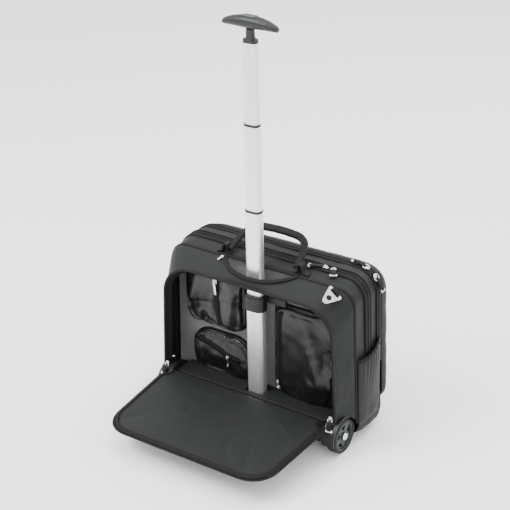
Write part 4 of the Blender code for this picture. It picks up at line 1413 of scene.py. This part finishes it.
def metal_pull(work, lying, length):
    """Narrow plate with an eye at its end, on a small ring."""
    neck = length - 0.0035
    tip = mirrored([(0.0012, 0.0), (0.0024, 0.004), (0.0024, neck), (0.0014, length)])
    plate(work, lying @ Matrix.Rotation(math.radians(-4), 4, "X"), tip, 0.0011)
    loop_piece(work, lying @ Matrix.Translation((0, 0.0005, 0)), round_profile(0.0026, 12), 0.0006)
    loop_piece(work, lying @ Matrix.Translation((0, neck, 0.0006)), round_profile(0.0012, 10, 1.5), 0.0004)


def webbing_pull(name, lying, begin, length, body):
    """Sewn band from the slider's ring to the bar at its end."""
    out = lying.to_3x3() @ UP
    band = []
    for step in range(13):
        share = step / 12
        band.append(lying @ Vector((0, begin + (length - begin) * share, 0.0016 * math.sin(math.pi * share))))
    strip(name + "_pull", band, out, 0.0105, 0.0016, WEBBING, body, crown=0.9)
    for shift in (-1, 1):
        row = [p + lying.to_3x3() @ Vector((0.0038 * shift, 0, 0.0016)) for p in band]
        stitches(f"{name}_pull_stitches_{'ab'[shift > 0]}", row, out, body, pitch=0.0026, length=0.0017)


def slider(name, origin, along, out, pull, length, node=None, kind="metal", size=1.0):
    """Zip slider with a metal pull, or with a ring, a webbing pull and a bar."""
    body = "moving_" + node if node else "case"
    work = bmesh.new()
    base = frame_of(origin, along, out)
    slider_body(work, base, size)
    lying = frame_of(base @ Vector((0, 0, 0.0042 * size)), pull, out)
    if kind == "metal":
        metal_pull(work, lying, length)
    else:
        ring = RING_SIZES[kind]
        loop_piece(work, lying @ Matrix.Translation((0, ring * 0.6, 0)), round_profile(ring, 20), 0.0010)
        bar = rounded_rectangle(0.0150, 0.0055, 0.0014, 3)
        plate(work, lying @ Matrix.Translation((0, length, -0.0004)), bar, 0.0036)
    data = mesh_from(name + "_metal", work, 40)
    piece = new_piece(name + "_metal", data, BRIGHT, body, [node] if node else [])
    rounded(piece, 0.0002)
    if kind != "metal":
        webbing_pull(name, lying, ring * 1.2, length, body)


def sliders():
    """Every zip's slider where it lies in the photo: slot, main, rear, pockets and opening."""
    lying = (-0.3, -1, -0.3)
    slider(
        "slot_slider", at(-0.086, 0.0455, 0.3375), (1, 0.1, 0), (-0.1, -0.25, 1), lying, 0.0125,
        "slot_zip_slider"
    )
    for side, x, turn, pull, length in (
        ("left", 0.126, 1, (-1, -0.30, -0.06), 0.034),
        ("right", 0.143, -1, (0.50, -0.85, -0.16), 0.023),
    ):
        place, node = at(x, 0.0960, 0.3487), "main_zip_slider_" + side
        slider("main_slider_" + side, place, (turn, 0, 0), UP, pull, length, node, "webbing")
    centre = at(0.173, 0.140, 0.303)
    for side, angle, turn in (("left", 66, 1), ("right", 42, -1)):
        theta = math.radians(angle)
        out = Vector((math.cos(theta), 0, math.sin(theta)))
        round_way = Vector((-math.sin(theta), 0, math.cos(theta))) * turn
        place, pull, node = centre + out * 0.0482, round_way - out * 0.20, "rear_zip_slider_" + side
        slider("rear_slider_" + side, place, round_way, out, pull, 0.033, node, "ring")
    for pocket, x, z, along, pull, length, size in (
        ("upper", -0.102, 0.281, UP, (0.06, 0, -1), 0.028, 1.25),
        ("lower", -0.076, 0.1155, (-1, 0, 0.2), (0.03, 0, -1), 0.0235, 1.25),
        ("right", 0.050, 0.084, UP, (-0.10, 0, 1), 0.0175, 1.0),
    ):
        node = pocket + "_pocket_slider"
        place = Vector((x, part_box(node)[1][1] - 0.0012, z))
        slider(pocket + "_slider", place, along, TO_FRONT, pull, length, node, size=size)
    for side, turn, swing in (("right", 1, 0.10), ("left", -1, -0.20)):
        place, out = at(turn * 0.1995, -0.0030, 0.0835), (turn * 0.1, -1, 0)
        slider("opening_slider_" + side, place, UP, out, (swing, -0.30, -1), 0.024, kind="webbing")


LOOKS = {
    "axle": BRIGHT, "base_tray": PLASTIC, "button_spring": BRIGHT, "collar_cap": PLASTIC, "fixed_tube": TUBE,
    "flap_rivet": PLASTIC, "front_sill": PLASTIC, "grip_button": WHEEL, "grip_stem": GRIP,
    "handle_anchor": PLASTIC,
    "lock_pin": BRIGHT, "lower_stage_ring": GRIP, "middle_stage_ring": GRIP, "lower_stage_tube": TUBE,
    "middle_stage_tube": TUBE, "upper_stage_tube": TUBE, "rear_foot": RUBBER, "release_rod": BRIGHT,
    "strap_ring_loop": WEBBING, "strap_ring": BRIGHT, "t_grip": GRIP, "tube_collar": PLASTIC,
    "tube_foot": PLASTIC,
    "tyre": RUBBER, "wheel_housing": PLASTIC, "wheel_hub": WHEEL,
}
ROUNDED = {
    "front_sill": 0.0015, "base_tray": 0.0012, "wheel_housing": 0.0007, "handle_anchor": 0.0006,
    "collar_cap": 0.0004, "tube_collar": 0.0005, "strap_ring_loop": 0.0003, "rear_foot": 0.0004,
    "wheel_hub": 0.0004, "strap_ring": 0.0004, "tyre": 0.0004,
}


def dress_nodes():
    """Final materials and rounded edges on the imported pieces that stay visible."""
    for name, node in NODES.items():
        keys = [key for key in LOOKS if name.startswith(key)]
        if not keys:
            continue
        key = max(keys, key=len)
        node.data.materials.clear()
        node.data.materials.append(LOOKS[key])
        node.data.shade_smooth()
        node.data.set_sharp_from_angle(angle=math.radians(35))
        if key in ROUNDED:
            edge = rounded(node, ROUNDED[key])
            edge.angle_limit = math.radians(38)
            edge.harden_normals = True


def spring():
    """Coil under the release button: a copy of the imported spring, riding on the same body."""
    node = NODES["button_spring"]
    data = node.data.copy()
    data.materials.clear()
    piece = new_piece("release_spring", data, BRIGHT, node["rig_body"], ["button_spring"])
    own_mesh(piece)


lining()
pockets()
hidden_panels()
spring()
flap()
hinge_strip()
inner_floor()
for pocket_side in (1, -1):
    side_pocket(pocket_side)
handle()
sliders()
dress_nodes()


# ---------------------------------------------------------------- floor, light and finish


def stage_set():
    work = bmesh.new()
    bmesh.ops.create_grid(work, x_segments=2, y_segments=2, size=9.0)
    data = bpy.data.meshes.new("floor")
    work.to_mesh(data)
    work.free()
    data.materials.append(make_floor())
    floor = placed("floor", data)
    for name, place, size, power in (
        ("key", (-1.3, -1.5, 2.6), 1.5, 95),
        ("fill", (2.4, -1.9, 1.6), 2.2, 40),
        ("back", (0.6, 2.4, 2.4), 1.8, 46),
        ("top", (0.0, 0.0, 3.0), 2.4, 50),
    ):
        light = bpy.data.lights.new(name, "AREA")
        light.shape = "DISK"
        light.size = size
        light.energy = power
        lamp = placed(name, light)
        lamp.location = place
        lamp.rotation_euler = (Vector((0, 0, 0.25)) - Vector(place)).to_track_quat("-Z", "Y").to_euler()
    world = bpy.data.worlds.new("world")
    world.use_nodes = True
    background = world.node_tree.nodes["Background"].inputs
    background["Color"].default_value = (1, 1, 1, 1)
    background["Strength"].default_value = 2.0
    bpy.context.scene.world = world


stage_set()
